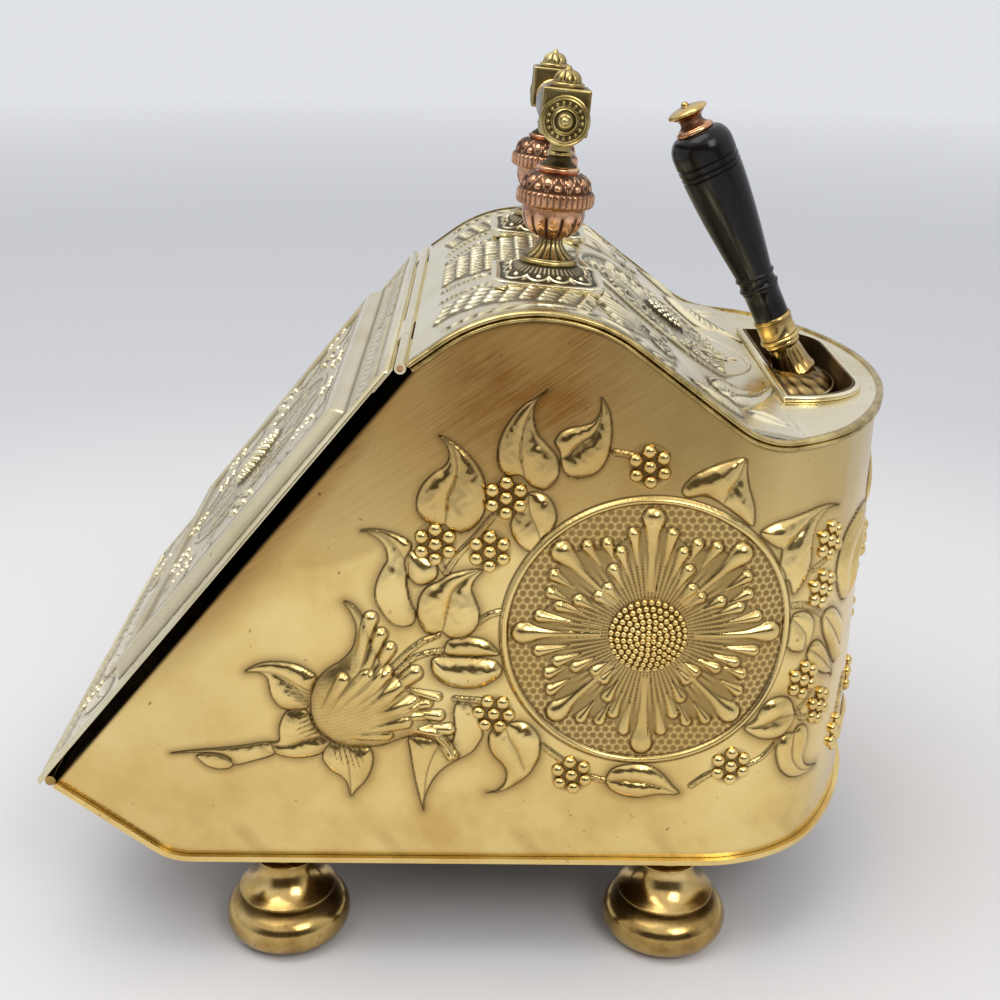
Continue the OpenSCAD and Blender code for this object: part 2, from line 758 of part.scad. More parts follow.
module lid_panel() {
    half = lid_w / 2 - border_side - frame_w;
    ball_r = (pow(lid_boss_r, 2) + pow(lid_boss_h, 2)) / (2 * lid_boss_h);
    top = sheet_t + panel_h;
    color(brass) on_lid() {
        lid_block(half, border_top + frame_w, frame_low - frame_w, top - sheet_t, top);
        intersection() {
            translate([0, -lid_mid, barrel_r + top + lid_boss_h - ball_r]) sphere(ball_r);
            translate([0, -lid_mid, barrel_r + top - sheet_t]) cylinder(2 * lid_boss_h + sheet_t, r = 2 * lid_boss_r);
        }
    }
}

// ---- Handle posts ----

module flange(side) {
    corner = flange_w / 2 - flange_r;
    color(brass) difference() {
        on_post(side) difference() {
            union() {
                translate([0, 0, flange_top - flange_t]) linear_extrude(flange_t) {
                    square([flange_w, 2 * corner], center = true);
                    square([2 * corner, flange_w], center = true);
                    for (turn = [0:90:270]) rotate(turn) translate([corner, corner]) circle(flange_r);
                }
                translate([0, 0, flange_top])
                    cylinder(step_top - 3 - flange_top, r1 = flange_w / 2 - 1, r2 = step_r - 1);
            }
            cylinder(big, r = post_stud_d / 2 + fit, center = true);
        }
        place() across(body_w) under_top(0);
    }
}
module right_post_flange() { flange(1); }
module left_post_flange() { flange(-1); }

// A turned piece on a post, bored for the stud. The profile is [radius, height over the sheet]
module post_turning(side, points) {
    on_post(side) difference() {
        turned(concat([[0, points[0].y]], points, [[0, points[len(points) - 1].y]]));
        cylinder(big, r = post_stud_d / 2 + fit, center = true);
    }
}

// The round step and the fluted waist
module waist(side) {
    flare = waist_h - step_top;
    color(brass) post_turning(side, concat([[step_r, step_top - 3], [step_r, step_top]],
        [for (i = [0:8]) [waist_r + (step_r - 1.8 - waist_r) * pow(1 - i / 8, 2), step_top + flare * i / 8]]));
}
module right_post_waist() { waist(1); }
module left_post_waist() { waist(-1); }

// The copper urn: bowl, ribbed band, domed shoulder and top ring
module urn(side) {
    band_top = band_low + band_h;
    ring_h = 2.4;
    bowl_h = band_low - waist_h;
    dome_h = urn_top - ring_h - band_top;
    color(copper) post_turning(side, concat(
        [for (i = [0:8]) [waist_r + (bowl_r - waist_r) * sin(90 * i / 8), waist_h + bowl_h * (1 - cos(90 * i / 8))]],
        [[band_r, band_low], [band_r, band_top]],
        [for (i = [0:8]) [urn_ring_r + (band_r - 1.6 - urn_ring_r) * cos(90 * i / 8), band_top + dome_h * sin(90 * i / 8)]],
        [[urn_ring_r + 0.01, urn_top]]));
}
module right_post_urn() { urn(1); }
module left_post_urn() { urn(-1); }

// The dark hollow neck, the small brass ring and the stem up to the block
module stem(side) {
    neck_h = 5;
    ring_r = stalk_r + 1.3;
    color(brass) post_turning(side, concat(
        [for (i = [0:6]) [stalk_r + (urn_ring_r - 1 - stalk_r) * pow(1 - i / 6, 2), urn_top + neck_h * i / 6]],
        arc([stalk_r, urn_top + neck_h + ring_r - stalk_r], ring_r - stalk_r, -90, 90),
        [[stalk_r, block_low]]));
}
module right_post_stem() { stem(1); }
module left_post_stem() { stem(-1); }

module block(side) {
    color(brass) on_post(side) difference() {
        translate([-block_w / 2, -block_w / 2, block_low]) cube([block_w, block_w, block_h]);
        cylinder(block_low + 4, r = post_stud_d / 2 + fit);
        translate([0, 0, rod_up]) rotate([0, 90, 0]) cylinder(2 * block_w, r = rod_d / 2 + fit, center = true);
    }
}
module right_post_block() { block(1); }
module left_post_block() { block(-1); }

// The ribbed dome on the block
module finial(side) {
    foot = 2.4;
    dome_r = finial_r - 1.5;
    button_r = 2.2;
    color(brass) on_post(side) translate([0, 0, block_top]) turned(concat(
        [[0, 0], [finial_r, 0], [finial_r, foot]],
        [for (i = [0:8]) [button_r + (dome_r - button_r) * cos(90 * i / 8), foot + (finial_h - foot - 1) * sin(90 * i / 8)]],
        [[button_r * 0.8, finial_h], [0, finial_h]]));
}
module right_post_finial() { finial(1); }
module left_post_finial() { finial(-1); }

stud_low = -sheet_t - 9;

module post_stud(side) {
    color("dimgray") on_post(side) translate([0, 0, stud_low])
        cylinder(block_low + 3 - stud_low, r = post_stud_d / 2);
}
module right_post_stud() { post_stud(1); }
module left_post_stud() { post_stud(-1); }

// Washers and nuts under the top, on the posts' studs
module post_nuts() {
    washer_r = 9;
    under = crown_r - sheet_t;
    sag = under - sqrt(pow(under, 2) - pow(washer_r, 2)) + 0.02;
    color("dimgray") for (side = [-1, 1]) on_post(side) translate([0, 0, -sheet_t - sag]) {
        difference() {
            translate([0, 0, -washer_t]) cylinder(washer_t, r = washer_r);
            cylinder(big, r = post_stud_d / 2 + fit, center = true);
        }
        translate([0, 0, -washer_t - 4]) hex_nut(9, 4, post_stud_d / 2 + fit);
    }
}

// ---- Handle ----

// Puts a shape along the rod between the two blocks, with its Z along X
module on_rod() {
    place() translate([0, post_reach, post_foot]) rotate([-post_lean, 0, 0])
        translate([0, 0, rod_up]) rotate([0, 90, 0]) children();
}

bar_half = post_side - block_w / 2;

module handle_bar() {
    half = bar_half - bar_ferrule;
    color(ebony) on_rod() difference() {
        turned(concat([[0, -half]], [for (i = [-8:8]) [bar_end_r + (bar_r - bar_end_r) * cos(90 * i / 8), half * i / 8]],
            [[0, half]]));
        cylinder(big, r = rod_d / 2 + fit, center = true);
    }
}

module handle_ferrules() {
    color(brass) for (side = [-1, 1]) on_rod() mirror([0, 0, side < 0 ? 1 : 0])
        translate([0, 0, bar_half - bar_ferrule]) difference() {
            union() {
                cylinder(bar_ferrule, r = bar_end_r + 0.8);
                translate([0, 0, bar_ferrule / 2 - 1]) cylinder(2, r = bar_end_r + 1.8);
            }
            cylinder(big, r = rod_d / 2 + fit, center = true);
        }
}

module handle_rod() {
    color("dimgray") on_rod() cylinder(2 * (post_side + block_w / 2 + boss_t - 1), r = rod_d / 2, center = true);
}

// A round boss with stepped rings and a bead, screwed on the end of the rod
module boss(side) {
    color(brass) on_rod() mirror([0, 0, side < 0 ? 1 : 0])
        translate([0, 0, post_side + block_w / 2]) difference() {
            union() {
                cylinder(boss_t - 1, r = boss_r);
                cylinder(boss_t, r = boss_r * 0.58);
                translate([0, 0, boss_t]) intersection() { sphere(2.4); cylinder(3, r = 3); }
            }
            translate([0, 0, -1]) cylinder(boss_t, r = rod_d / 2 + fit);
        }
}
module right_handle_boss() { boss(1); }
module left_handle_boss() { boss(-1); }

// ---- Feet ----

module each_foot() {
    for (side = [-1, 1], y = [-foot_front, foot_back]) translate([side * foot_side, y, 0]) children();
}

// One turned foot: stem, thin disc, flared neck, sharp shoulder and flattened bun
module foot(side, y) {
    disc_z = -0.24 * foot_h;
    shoulder_z = -0.54 * foot_h;
    bun_z = -foot_h + bun_half;
    color(brass) place() translate([side * foot_side, y, 0]) difference() {
        turned(concat(
            [[0, 0], [stem_r, 0], [stem_r, disc_z + 2.5], [disc_r, disc_z + 2.5], [disc_r, disc_z]],
            [for (i = [0:8]) [stem_r - 0.5 + (shoulder_r - stem_r + 0.5) * (1 - cos(90 * i / 8)),
                              disc_z + (shoulder_z - disc_z) * sin(90 * i / 8)]],
            [[shoulder_r, shoulder_z - 2]],
            arc([bun_r - bun_half, bun_z], bun_half, 70, -90, 16),
            [[0, -foot_h]]));
        translate([0, 0, -foot_h / 2]) cylinder(foot_h, r = foot_stud_d / 2 + fit);
    }
}
module front_right_foot() { foot(1, -foot_front); }
module front_left_foot() { foot(-1, -foot_front); }
module back_right_foot() { foot(1, foot_back); }
module back_left_foot() { foot(-1, foot_back); }

foot_nut_h = 5;

module foot_studs() {
    low = foot_h / 2 - 1;
    color("dimgray") place() each_foot() translate([0, 0, -low])
        cylinder(low + sheet_t + washer_t + foot_nut_h + 2, r = foot_stud_d / 2);
}

module foot_nuts() {
    color("dimgray") place() each_foot() translate([0, 0, sheet_t]) {
        difference() {
            cylinder(washer_t, r = 9);
            translate([0, 0, -1]) cylinder(washer_t + 2, r = foot_stud_d / 2 + fit);
        }
        translate([0, 0, washer_t]) hex_nut(10, foot_nut_h, foot_stud_d / 2 + fit);
    }
}

// ---- Shovel ----

// The plan of the scoop's hollow, with its round back moved out by o
module scoop_plan(o) {
    half_angle = asin(scoop_w / 2 / scoop_r);
    sector([0, scoop_mid], scoop_r + o, 90 - half_angle, 90);
    sector([0, scoop_mid], scoop_r + o, 90, 90 + half_angle);
}

module shovel_scoop() {
    straight = 0.72;
    color(brass) place() intersection() {
        translate([0, 0, scoop_foot]) linear_extrude(scoop_len)
            difference() { scoop_plan(0); translate([0, scoop_mid]) circle(scoop_r - sheet_t); }
        across(2 * scoop_w) polygon([[scoop_front + scoop_taper, scoop_foot], [pocket_back, scoop_foot],
            [pocket_back, scoop_top], [scoop_front - 2, scoop_top],
            [scoop_front - 2, scoop_foot + straight * scoop_len]]);
    }
}

// A slab h high over the mouth of the scoop, inside its sheet
module heel_slab(h) {
    translate([0, 0, heel_low]) linear_extrude(h) intersection() {
        translate([0, scoop_mid]) circle(scoop_r - sheet_t);
        translate([-scoop_w, scoop_front]) square(2 * scoop_w);
    }
}

// The domed heel that closes the top of the scoop
module shovel_heel() {
    color(brass) place() {
        heel_slab(heel_t);
        intersection() {
            heel_slab(heel_t + heel_dome + 1);
            translate([0, heel_y, heel_z]) sphere(heel_ball_r);
        }
    }
}

// The cast socket from the heel up to the ferrule
module shovel_socket() {
    neck_r = ferrule_r - 2.6;
    color(brass) difference() {
        union() {
            on_grip() translate([0, 0, -socket_len]) cylinder(socket_len, r1 = socket_r, r2 = neck_r);
            on_grip() translate([0, 0, -3]) cylinder(3, r = neck_r + 1);
        }
        place() translate([0, heel_y, heel_z]) sphere(heel_ball_r);
        on_grip() translate([0, 0, -8]) cylinder(8 + 1, r = tang_d / 2 + fit);
    }
}

module shovel_ferrule() {
    ring = 3;
    color(brass) on_grip() difference() {
        turned(concat([[0, 0], [ferrule_r - ring / 2, 0]],
            arc([ferrule_r - ring / 2, ring / 2], ring / 2, -90, 90),
            [[grip_slim_r + 0.6, ring], [grip_slim_r + 0.3, ferrule_len], [0, ferrule_len]]));
        translate([0, 0, -1]) cylinder(ferrule_len + 2, r = tang_d / 2 + fit);
    }
}

// The turned grip: slim end, two rings, a long swell with three grooves and a round head
module shovel_grip() {
    head_z = grip_len - grip_r * 0.62;
    ring_z = 17;
    swell_z = ring_z + 11;
    top_r = 10;
    groove_step = 5.5;
    groove = 0.8;
    function swell(z) = grip_slim_r + 0.8
        + (grip_r - grip_slim_r - 0.8) * sin(90 * (z - swell_z) / (head_z - swell_z));
    grooves = [for (i = [3:-1:1]) head_z + 1 - i * groove_step];
    color(ebony) on_grip() translate([0, 0, ferrule_len]) difference() {
        turned(concat(
            [[0, 0], [grip_slim_r, 0], [grip_slim_r + 0.3, ring_z - 1], [grip_slim_r + 1.2, ring_z],
             [grip_slim_r + 1.2, ring_z + 4], [grip_slim_r + 0.4, ring_z + 5],
             [grip_slim_r + 0.4, ring_z + 6], [grip_slim_r + 1.2, ring_z + 7], [grip_slim_r + 1.2, swell_z - 1]],
            [for (i = [0:8]) let (z = swell_z + (grooves[0] - 1 - swell_z) * i / 8) [swell(z), z]],
            [for (g = grooves) each [[swell(g - 1), g - 1], [swell(g) - groove, g], [swell(g + 1), g + 1]]],
            [for (i = [0:8]) [top_r + (grip_r - top_r) * cos(90 * i / 8), head_z + (grip_len - head_z) * sin(90 * i / 8)]],
            [[0, grip_len]]));
        translate([0, 0, -1]) cylinder(grip_len + 2, r = tang_d / 2 + fit);
    }
}

grip_top = ferrule_len + grip_len;
collar_h = 9.5;
cap_h = 4.8;

// The collar on the grip's head and the hollow copper neck
module shovel_collar() {
    neck_r = 6;
    edge = 2.6;
    color(copper) on_grip() translate([0, 0, grip_top]) difference() {
        turned(concat([[0, 0], [10.2, 0], [10.2, edge - 0.8], [9, edge]],
            [for (i = [0:6]) [neck_r + 1.8 * pow(2 * i / 6 - 1, 2), edge + (collar_h - edge) * i / 6]],
            [[0, collar_h]]));
        translate([0, 0, -1]) cylinder(collar_h + 2, r = tang_d / 2 + fit);
    }
}

module shovel_cap() {
    bead_r = 2.6;
    color(brass) on_grip() translate([0, 0, grip_top + collar_h]) difference() {
        union() {
            turned(concat([[0, 0], [cap_r - 2.4, 0], [cap_r - 0.6, 0.8]],
                [for (i = [0:8]) [cap_r * cos(90 * i / 8), 1.6 + (cap_h - 1.6) * sin(90 * i / 8)]]));
            translate([0, 0, cap_h - 0.4]) sphere(bead_r);
        }
        translate([0, 0, -1]) cylinder(cap_h - 1, r = tang_d / 2 + fit);
    }
}

module shovel_tang() {
    low = -7;
    color("dimgray") on_grip() translate([0, 0, low])
        cylinder(grip_top + collar_h + cap_h - 2.5 - low, r = tang_d / 2);
}

right_wall();
left_wall();
right_wall_relief();
left_wall_relief();
back_seam_strap();
base_sheet();
base_seam();
top_sheet();
top_bead();
lip_wire();
right_mouth_hem();
left_mouth_hem();
pocket_rim();
pocket_sleeve();
pocket_floor();
top_hinge_leaf();
lid_hinge_leaf();
hinge_pin();
lid_sheet();
lid_rim();
lid_frame();
lid_panel();
right_post_flange();
left_post_flange();
right_post_waist();
left_post_waist();
right_post_urn();
left_post_urn();
right_post_stem();
left_post_stem();
right_post_block();
left_post_block();
right_post_finial();
left_post_finial();
right_post_stud();
left_post_stud();
post_nuts();
handle_bar();
handle_ferrules();
handle_rod();
right_handle_boss();
left_handle_boss();
front_right_foot();
front_left_foot();
back_right_foot();
back_left_foot();
foot_studs();
foot_nuts();
shovel_scoop();
shovel_heel();
shovel_socket();
shovel_ferrule();
shovel_grip();
shovel_collar();
shovel_cap();
shovel_tang();
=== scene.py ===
import math

import bmesh
import bpy
import numpy as np
from mathutils import Matrix, Vector


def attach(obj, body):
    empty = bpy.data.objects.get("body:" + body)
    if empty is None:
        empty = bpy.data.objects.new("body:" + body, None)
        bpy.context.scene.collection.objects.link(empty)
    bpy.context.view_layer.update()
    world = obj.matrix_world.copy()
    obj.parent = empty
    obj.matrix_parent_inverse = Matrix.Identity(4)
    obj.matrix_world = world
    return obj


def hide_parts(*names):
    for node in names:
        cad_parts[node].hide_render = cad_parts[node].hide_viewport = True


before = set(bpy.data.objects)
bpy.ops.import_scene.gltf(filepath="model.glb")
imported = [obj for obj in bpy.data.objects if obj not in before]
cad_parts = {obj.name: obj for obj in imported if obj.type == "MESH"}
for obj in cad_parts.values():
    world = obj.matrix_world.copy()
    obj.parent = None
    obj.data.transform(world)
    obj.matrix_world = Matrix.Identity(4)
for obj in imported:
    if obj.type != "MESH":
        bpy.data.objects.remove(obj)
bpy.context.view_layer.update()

mm = 0.001  # the sizes below are in millimetres, as in the part's source

# Where the source puts things. Heights count from the underside of the base, depths from the crown
spot = {
    "middle": (0, 28.107, 62),
    "hinge": (0, -63, 265.602),
    "lidAngle": 50.534,
    "postSide": 69,
    "postFoot": (6, 292.763),
    "postLean": -4.53,
    "rodUp": 77.6,
    "gripFoot": (0, 141.0, 245.5),
    "gripLean": 26.2,
}

hands = ((1, "right"), (-1, "left"))


def rotated(degrees, axis):
    return Matrix.Rotation(math.radians(degrees), 4, axis)


bodyPlace = Matrix.Translation(spot["middle"])
lidPlace = bodyPlace @ Matrix.Translation(spot["hinge"]) @ rotated(spot["lidAngle"], "X")
gripPlace = bodyPlace @ Matrix.Translation(spot["gripFoot"]) @ rotated(spot["gripLean"], "X")


def postPlace(side):
    move = Matrix.Translation((side * spot["postSide"], *spot["postFoot"]))
    return bodyPlace @ move @ rotated(spot["postLean"], "X")


rodPlace = postPlace(0) @ Matrix.Translation((0, 0, spot["rodUp"])) @ rotated(90, "Y")


# Colours and materials

def linear(hexText):
    levels = [int(hexText[i:i + 2], 16) / 255 for i in (1, 3, 5)]
    return tuple(c / 12.92 if c <= 0.04045 else ((c + 0.055) / 1.055) ** 2.4 for c in levels) + (1.0,)


def addNode(tree, kind, inputs=None, **settings):
    node = tree.nodes.new(kind)
    for name, value in settings.items():
        setattr(node, name, value)
    for key, value in (inputs or {}).items():
        if isinstance(value, bpy.types.NodeSocket):
            tree.links.new(value, node.inputs[key])
        else:
            node.inputs[key].default_value = value
    return node


def ramp(tree, source, *stops):
    # each stop is (place, colour)
    node = addNode(tree, "ShaderNodeValToRGB", {0: source})
    elements = node.color_ramp.elements
    while len(elements) < len(stops):
        elements.new(0.5)
    for element, (position, colour) in zip(elements, stops):
        element.position = position
        element.color = linear(colour)
    return node.outputs[0]


def noise(tree, where, scale, detail, roughness=0.5):
    return addNode(tree, "ShaderNodeTexNoise", {"Vector": where, "Scale": scale, "Detail": detail,
                                                "Roughness": roughness}).outputs["Fac"]


def mapRange(tree, source, low, high, start=0.0, end=1.0):
    return addNode(tree, "ShaderNodeMapRange", {0: source, 1: low, 2: high, 3: start, 4: end}).outputs[0]


def mix(tree, share, first, second, kind="RGBA"):
    inputs = {0: share, "A": first, "B": second}
    return addNode(tree, "ShaderNodeMix", inputs, data_type=kind).outputs["Result"]


def calculate(tree, operation, *values, clamp=False):
    return addNode(tree, "ShaderNodeMath", dict(enumerate(values)), operation=operation,
                   use_clamp=clamp).outputs[0]


def newMaterial(name):
    material = bpy.data.materials.new(name)
    material.use_nodes = True
    material.node_tree.nodes.clear()
    return material, material.node_tree


def metalFinish(name, finish):
    # One sheet or cast metal: a slow change of colour, brown patina in the hollows with painted shade in some
    # places (one darkening attribute), unpolished brown tarnish with painted dark reflection and shade in some
    # places (the brown attribute), spots, brush marks, and small dents that bend the reflections
    material, tree = newMaterial(name)
    where = addNode(tree, "ShaderNodeTexCoord").outputs["Object"]
    cloud = noise(tree, where, 1000 / finish["cloudSize"], 4.0, 0.6)
    body = ramp(tree, cloud, (0.3, finish["dark"]), (0.5, finish["mid"]), (0.7, finish["light"]))
    # brush marks: noise pulled out along one slanting direction, 25 mm long and half a millimetre wide
    pulled = addNode(tree, "ShaderNodeMapping", {"Vector": where, "Rotation": (0.62, 0.0, 0.0),
                                                 "Scale": (0.0005, 0.025, 0.0005)}, vector_type="TEXTURE")
    hairs = noise(tree, pulled.outputs[0], 1.0, 3.0, 0.55)
    streaks = mapRange(tree, hairs, 0.3, 0.7, 1.0, 0.76)
    patches = mapRange(tree, cloud, 0.35, 0.65, 0.8, 1.1)
    uneven = calculate(tree, "MULTIPLY", streaks, patches)
    tarnishAndPaintedShade = addNode(tree, "ShaderNodeAttribute", attribute_name="brown").outputs["Fac"]
    brown = calculate(tree, "MULTIPLY", tarnishAndPaintedShade, uneven, clamp=True)
    warm = mix(tree, brown, body, linear(finish["brown"]))
    spots = mapRange(tree, noise(tree, where, 1000 / finish["spotSize"], 2.0), 0.7, 0.78, 0.0, 0.5)
    patinaShadeMask = addNode(tree, "ShaderNodeAttribute", attribute_name="patinaAndPaintedShade").outputs["Fac"]
    grimeAndPaintedShade = calculate(tree, "MAXIMUM", spots, patinaShadeMask)
    shade = mix(tree, grimeAndPaintedShade, warm, linear(finish["patinaAndPaintedShade"]))
    dull = mapRange(tree, hairs, 0.3, 0.75, finish["roughness"] - 0.04, finish["roughness"] + 0.1)
    rough = mix(tree, grimeAndPaintedShade, dull, 0.55, "FLOAT")
    dents = noise(tree, where, 1000 / finish["dentSize"], 1.0)
    relief = calculate(tree, "MULTIPLY_ADD", hairs, 0.03, dents)
    bump = addNode(tree, "ShaderNodeBump", {"Height": relief, "Strength": finish["bump"],
                                            "Distance": finish["dentDepth"] * mm})
    shader = addNode(tree, "ShaderNodeBsdfPrincipled", {
        "Base Color": shade, "Metallic": 1.0, "Roughness": rough, "Normal": bump.outputs[0]})
    addNode(tree, "ShaderNodeOutputMaterial", {"Surface": shader.outputs[0]})
    return material


# Pressed and chased brass sheet, hand polished for years: warm yellow, brown in the hollows
sheetBrass = metalFinish("chasedSheetBrass", {
    "light": "#f1d997", "mid": "#e8cb84", "dark": "#d4b26c", "brown": "#8a5e2a", "patinaAndPaintedShade": "#35240f",
    "cloudSize": 60, "spotSize": 4, "roughness": 0.15, "bump": 0.35, "dentSize": 26, "dentDepth": 0.9})
# The sheet of the top and the lid: paler than the walls' brass as painted light on faces turned up, and rubbed,
# with grey brown lines
paleLitTopBrass = metalFinish("litAndRubbedTopBrass", {
    "light": "#f8efd0", "mid": "#f0e5c0", "dark": "#e0d0a0", "brown": "#a0763f", "patinaAndPaintedShade": "#352c1a",
    "cloudSize": 60, "spotSize": 4, "roughness": 0.2, "bump": 0.3, "dentSize": 14, "dentDepth": 0.4})
# Cast and turned brass of the feet and ferrules: yellower and glossier than the sheet
castBrass = metalFinish("turnedCastBrass", {
    "light": "#dcc284", "mid": "#bf9f60", "dark": "#856838", "brown": "#a0763f", "patinaAndPaintedShade": "#33230f",
    "cloudSize": 30, "spotSize": 4, "roughness": 0.15, "bump": 0.25, "dentSize": 8, "dentDepth": 0.25})
# Cast brass of the posts, never polished down into its chasing: olive brown
agedCastBrass = metalFinish("agedCastBrass", {
    "light": "#d6c389", "mid": "#b5a068", "dark": "#85703f", "brown": "#7a6034", "patinaAndPaintedShade": "#21190d",
    "cloudSize": 14, "spotSize": 3, "roughness": 0.22, "bump": 0.25, "dentSize": 5, "dentDepth": 0.2})
# Copper with an old polish: pink brown, near black in the grooves
polishedCopper = metalFinish("polishedCopper", {
    "light": "#f6c6a0", "mid": "#d7a17a", "dark": "#8a5a40", "brown": "#7a4a30", "patinaAndPaintedShade": "#20110a",
    "cloudSize": 14, "spotSize": 3, "roughness": 0.13, "bump": 0.25, "dentSize": 7, "dentDepth": 0.2})
# The unpolished inner side of the brass sheet, dull and sooty
sootyBrass = metalFinish("sootyInnerBrass", {
    "light": "#8a6d3e", "mid": "#5f4a2a", "dark": "#3a2e1d", "brown": "#3a2e1d", "patinaAndPaintedShade": "#1c150d",
    "cloudSize": 35, "spotSize": 6, "roughness": 0.5, "bump": 0.3, "dentSize": 10, "dentDepth": 0.4})
# Plain steel studs and nuts, out of sight
plainSteel = metalFinish("plainSteel", {
    "light": "#9b9994", "mid": "#7c7974", "dark": "#5a5651", "brown": "#5a5651", "patinaAndPaintedShade": "#2d2a26",
    "cloudSize": 12, "spotSize": 3, "roughness": 0.42, "bump": 0.2, "dentSize": 4, "dentDepth": 0.1})


def ebonisedFinish():
    # Turned beech stained black under a hard polish: a faint grain, and gloss from the coat
    material, tree = newMaterial("ebonisedBeech")
    where = addNode(tree, "ShaderNodeTexCoord").outputs["Object"]
    pulled = addNode(tree, "ShaderNodeMapping", {"Vector": where, "Scale": (900.0, 900.0, 60.0)})
    grain = noise(tree, pulled.outputs[0], 1.0, 3.0)
    stain = ramp(tree, grain, (0.35, "#080707"), (0.7, "#161110"))
    bump = addNode(tree, "ShaderNodeBump", {"Height": grain, "Strength": 0.08, "Distance": 0.1 * mm})
    shader = addNode(tree, "ShaderNodeBsdfPrincipled", {
        "Base Color": stain, "Roughness": 0.22, "IOR": 1.32, "Coat Weight": 0.1, "Coat Roughness": 0.05,
        "Normal": bump.outputs[0]})
    addNode(tree, "ShaderNodeOutputMaterial", {"Surface": shader.outputs[0]})
    return material


ebonisedBeech = ebonisedFinish()
print("materials: %d" % len(bpy.data.materials))


# Making pieces

def placePiece(name, mesh, body, material, nodes, crease):
    # Shades a mesh, gives it its finish, hangs it on the empty of the body it rides on, and hides the CAD nodes
    # it stands for
    mesh.materials.append(material)
    mesh.shade_smooth()
    if crease < 180:
        mesh.set_sharp_from_angle(angle=math.radians(crease))
    piece = bpy.data.objects.new(name, mesh)
    bpy.context.scene.collection.objects.link(piece)
    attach(piece, body)
    if nodes:
        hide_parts(*nodes)


def finishPiece(bm, name, body, material, nodes=(), patinaAndPaintedShade=None, crease=40, fromCad=False):
    # Cleans and scales what was drawn in millimetres, and writes its patina and painted shade
    if not fromCad:
        bmesh.ops.remove_doubles(bm, verts=bm.verts, dist=0.0005)
        bmesh.ops.recalc_face_normals(bm, faces=bm.faces)
        bmesh.ops.scale(bm, vec=(mm, mm, mm), verts=bm.verts)
    mesh = bpy.data.meshes.new(name)
    bm.to_mesh(mesh)
    bm.free()
    if patinaAndPaintedShade is not None:
        layer = mesh.attributes.new("patinaAndPaintedShade", "FLOAT", "POINT")
        layer.data.foreach_set("value", np.asarray(patinaAndPaintedShade, dtype=np.float32))
    placePiece(name, mesh, body, material, nodes, crease)


def arcPoints(cx, cz, r, start, end, count, rise=None):
    # An arc, or part of an oval where it has a rise of its own
    angles = [math.radians(start + (end - start) * i / count) for i in range(count + 1)]
    return [(cx + r * math.cos(a), cz + (rise or r) * math.sin(a)) for a in angles]


def flarePoints(slim, flare, start, length, count):
    # A hollow curve that runs in from its flared end to its slim one
    return [(slim + flare * (1 - i / count) ** 2, start + length * i / count) for i in range(count + 1)]


def turnProfile(bm, profile, steps, tool=None):
    # Turns a profile of (radius, height) about Z, then lets a tool move each point by its angle
    rail = [bm.verts.new((max(r, 0.0), 0, z)) for r, z in profile]
    edges = [bm.edges.new(pair) for pair in zip(rail, rail[1:])]
    bmesh.ops.spin(bm, geom=rail + edges, cent=(0, 0, 0), axis=(0, 0, 1), angle=2 * math.pi, steps=steps,
                   use_merge=True)
    bmesh.ops.remove_doubles(bm, verts=bm.verts, dist=0.001)
    if tool:
        for vert in bm.verts:
            radius = math.hypot(vert.co.x, vert.co.y)
            if radius > 0.01:
                angle = math.atan2(vert.co.y, vert.co.x)
                newRadius, newHeight = tool(radius, vert.co.z, angle)
                vert.co = (newRadius * math.cos(angle), newRadius * math.sin(angle), newHeight)


def turnedPiece(name, body, material, node, place, profile, steps, tool=None, crease=40, dark=None):
    bm = bmesh.new()
    turnProfile(bm, profile, steps, tool)
    patinaAndPaintedShade = None
    if dark:
        bmesh.ops.remove_doubles(bm, verts=bm.verts, dist=0.0005)
        patinaAndPaintedShade = [dark(math.hypot(v.co.x, v.co.y), v.co.z, math.atan2(v.co.y, v.co.x)) for v in bm.verts]
    bmesh.ops.transform(bm, matrix=place, verts=bm.verts)
    finishPiece(bm, name, body, material, (node,), patinaAndPaintedShade, crease)


def softened(name, node, body, material, width, segments):
    # A copy of a CAD node with its sharp edges broken, as a file or a press leaves them
    bm = bmesh.new()
    bm.from_mesh(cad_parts[node].data)
    bmesh.ops.remove_doubles(bm, verts=bm.verts, dist=0.000002)
    bmesh.ops.dissolve_limit(bm, angle_limit=math.radians(1.0), verts=bm.verts, edges=bm.edges)
    sharp = [e for e in bm.edges if len(e.link_faces) == 2 and e.calc_face_angle(0) > math.radians(35)]
    bmesh.ops.bevel(bm, geom=sharp, offset=width * mm, offset_type="OFFSET", segments=segments, profile=0.5,
                    affect="EDGES", clamp_overlap=True, material=-1)
    finishPiece(bm, name, body, material, (node,), crease=50, fromCad=True)


def mapGrid(columns, rows, shape):
    # A grid whose points go where shape(across, up) puts them, both from 0 to 1
    bm = bmesh.new()
    bmesh.ops.create_grid(bm, x_segments=columns, y_segments=rows, size=0.5)
    for vert in bm.verts:
        vert.co = shape(vert.co.x + 0.5, vert.co.y + 0.5)
    return bm


def ease(value, low, high):
    # 0 below low, 1 above high, smooth between
    t = min(max((value - low) / (high - low), 0.0), 1.0)
    return t * t * (3 - 2 * t)


# Feet

foot = {"side": 117, "front": -129, "back": 78, "steps": 96}
footProfile = ([(0, 0.2), (14, 0.2), (14.2, -2), (14, -9), (14.1, -11.4), (15.6, -12), (16.6, -12.5)]
               + arcPoints(16.4, -13.65, 0.75, 90, -90, 6)
               + [(15.2, -14.6), (13.8, -15.2), (13.7, -16.4), (14, -18.5), (14.9, -21.5), (16.6, -25),
                  (19.2, -28.3), (22.4, -31), (25.2, -32.7), (26, -33.3), (26.1, -34.2), (25.6, -35.2),
                  (24.2, -35.6), (23.2, -36.2), (23.4, -36.8)]
               + arcPoints(21.3, -49.5, 12.5, 78, -72, 26)
               + [(24.2, -61.6), (21, -61.9), (0, -61.9)])


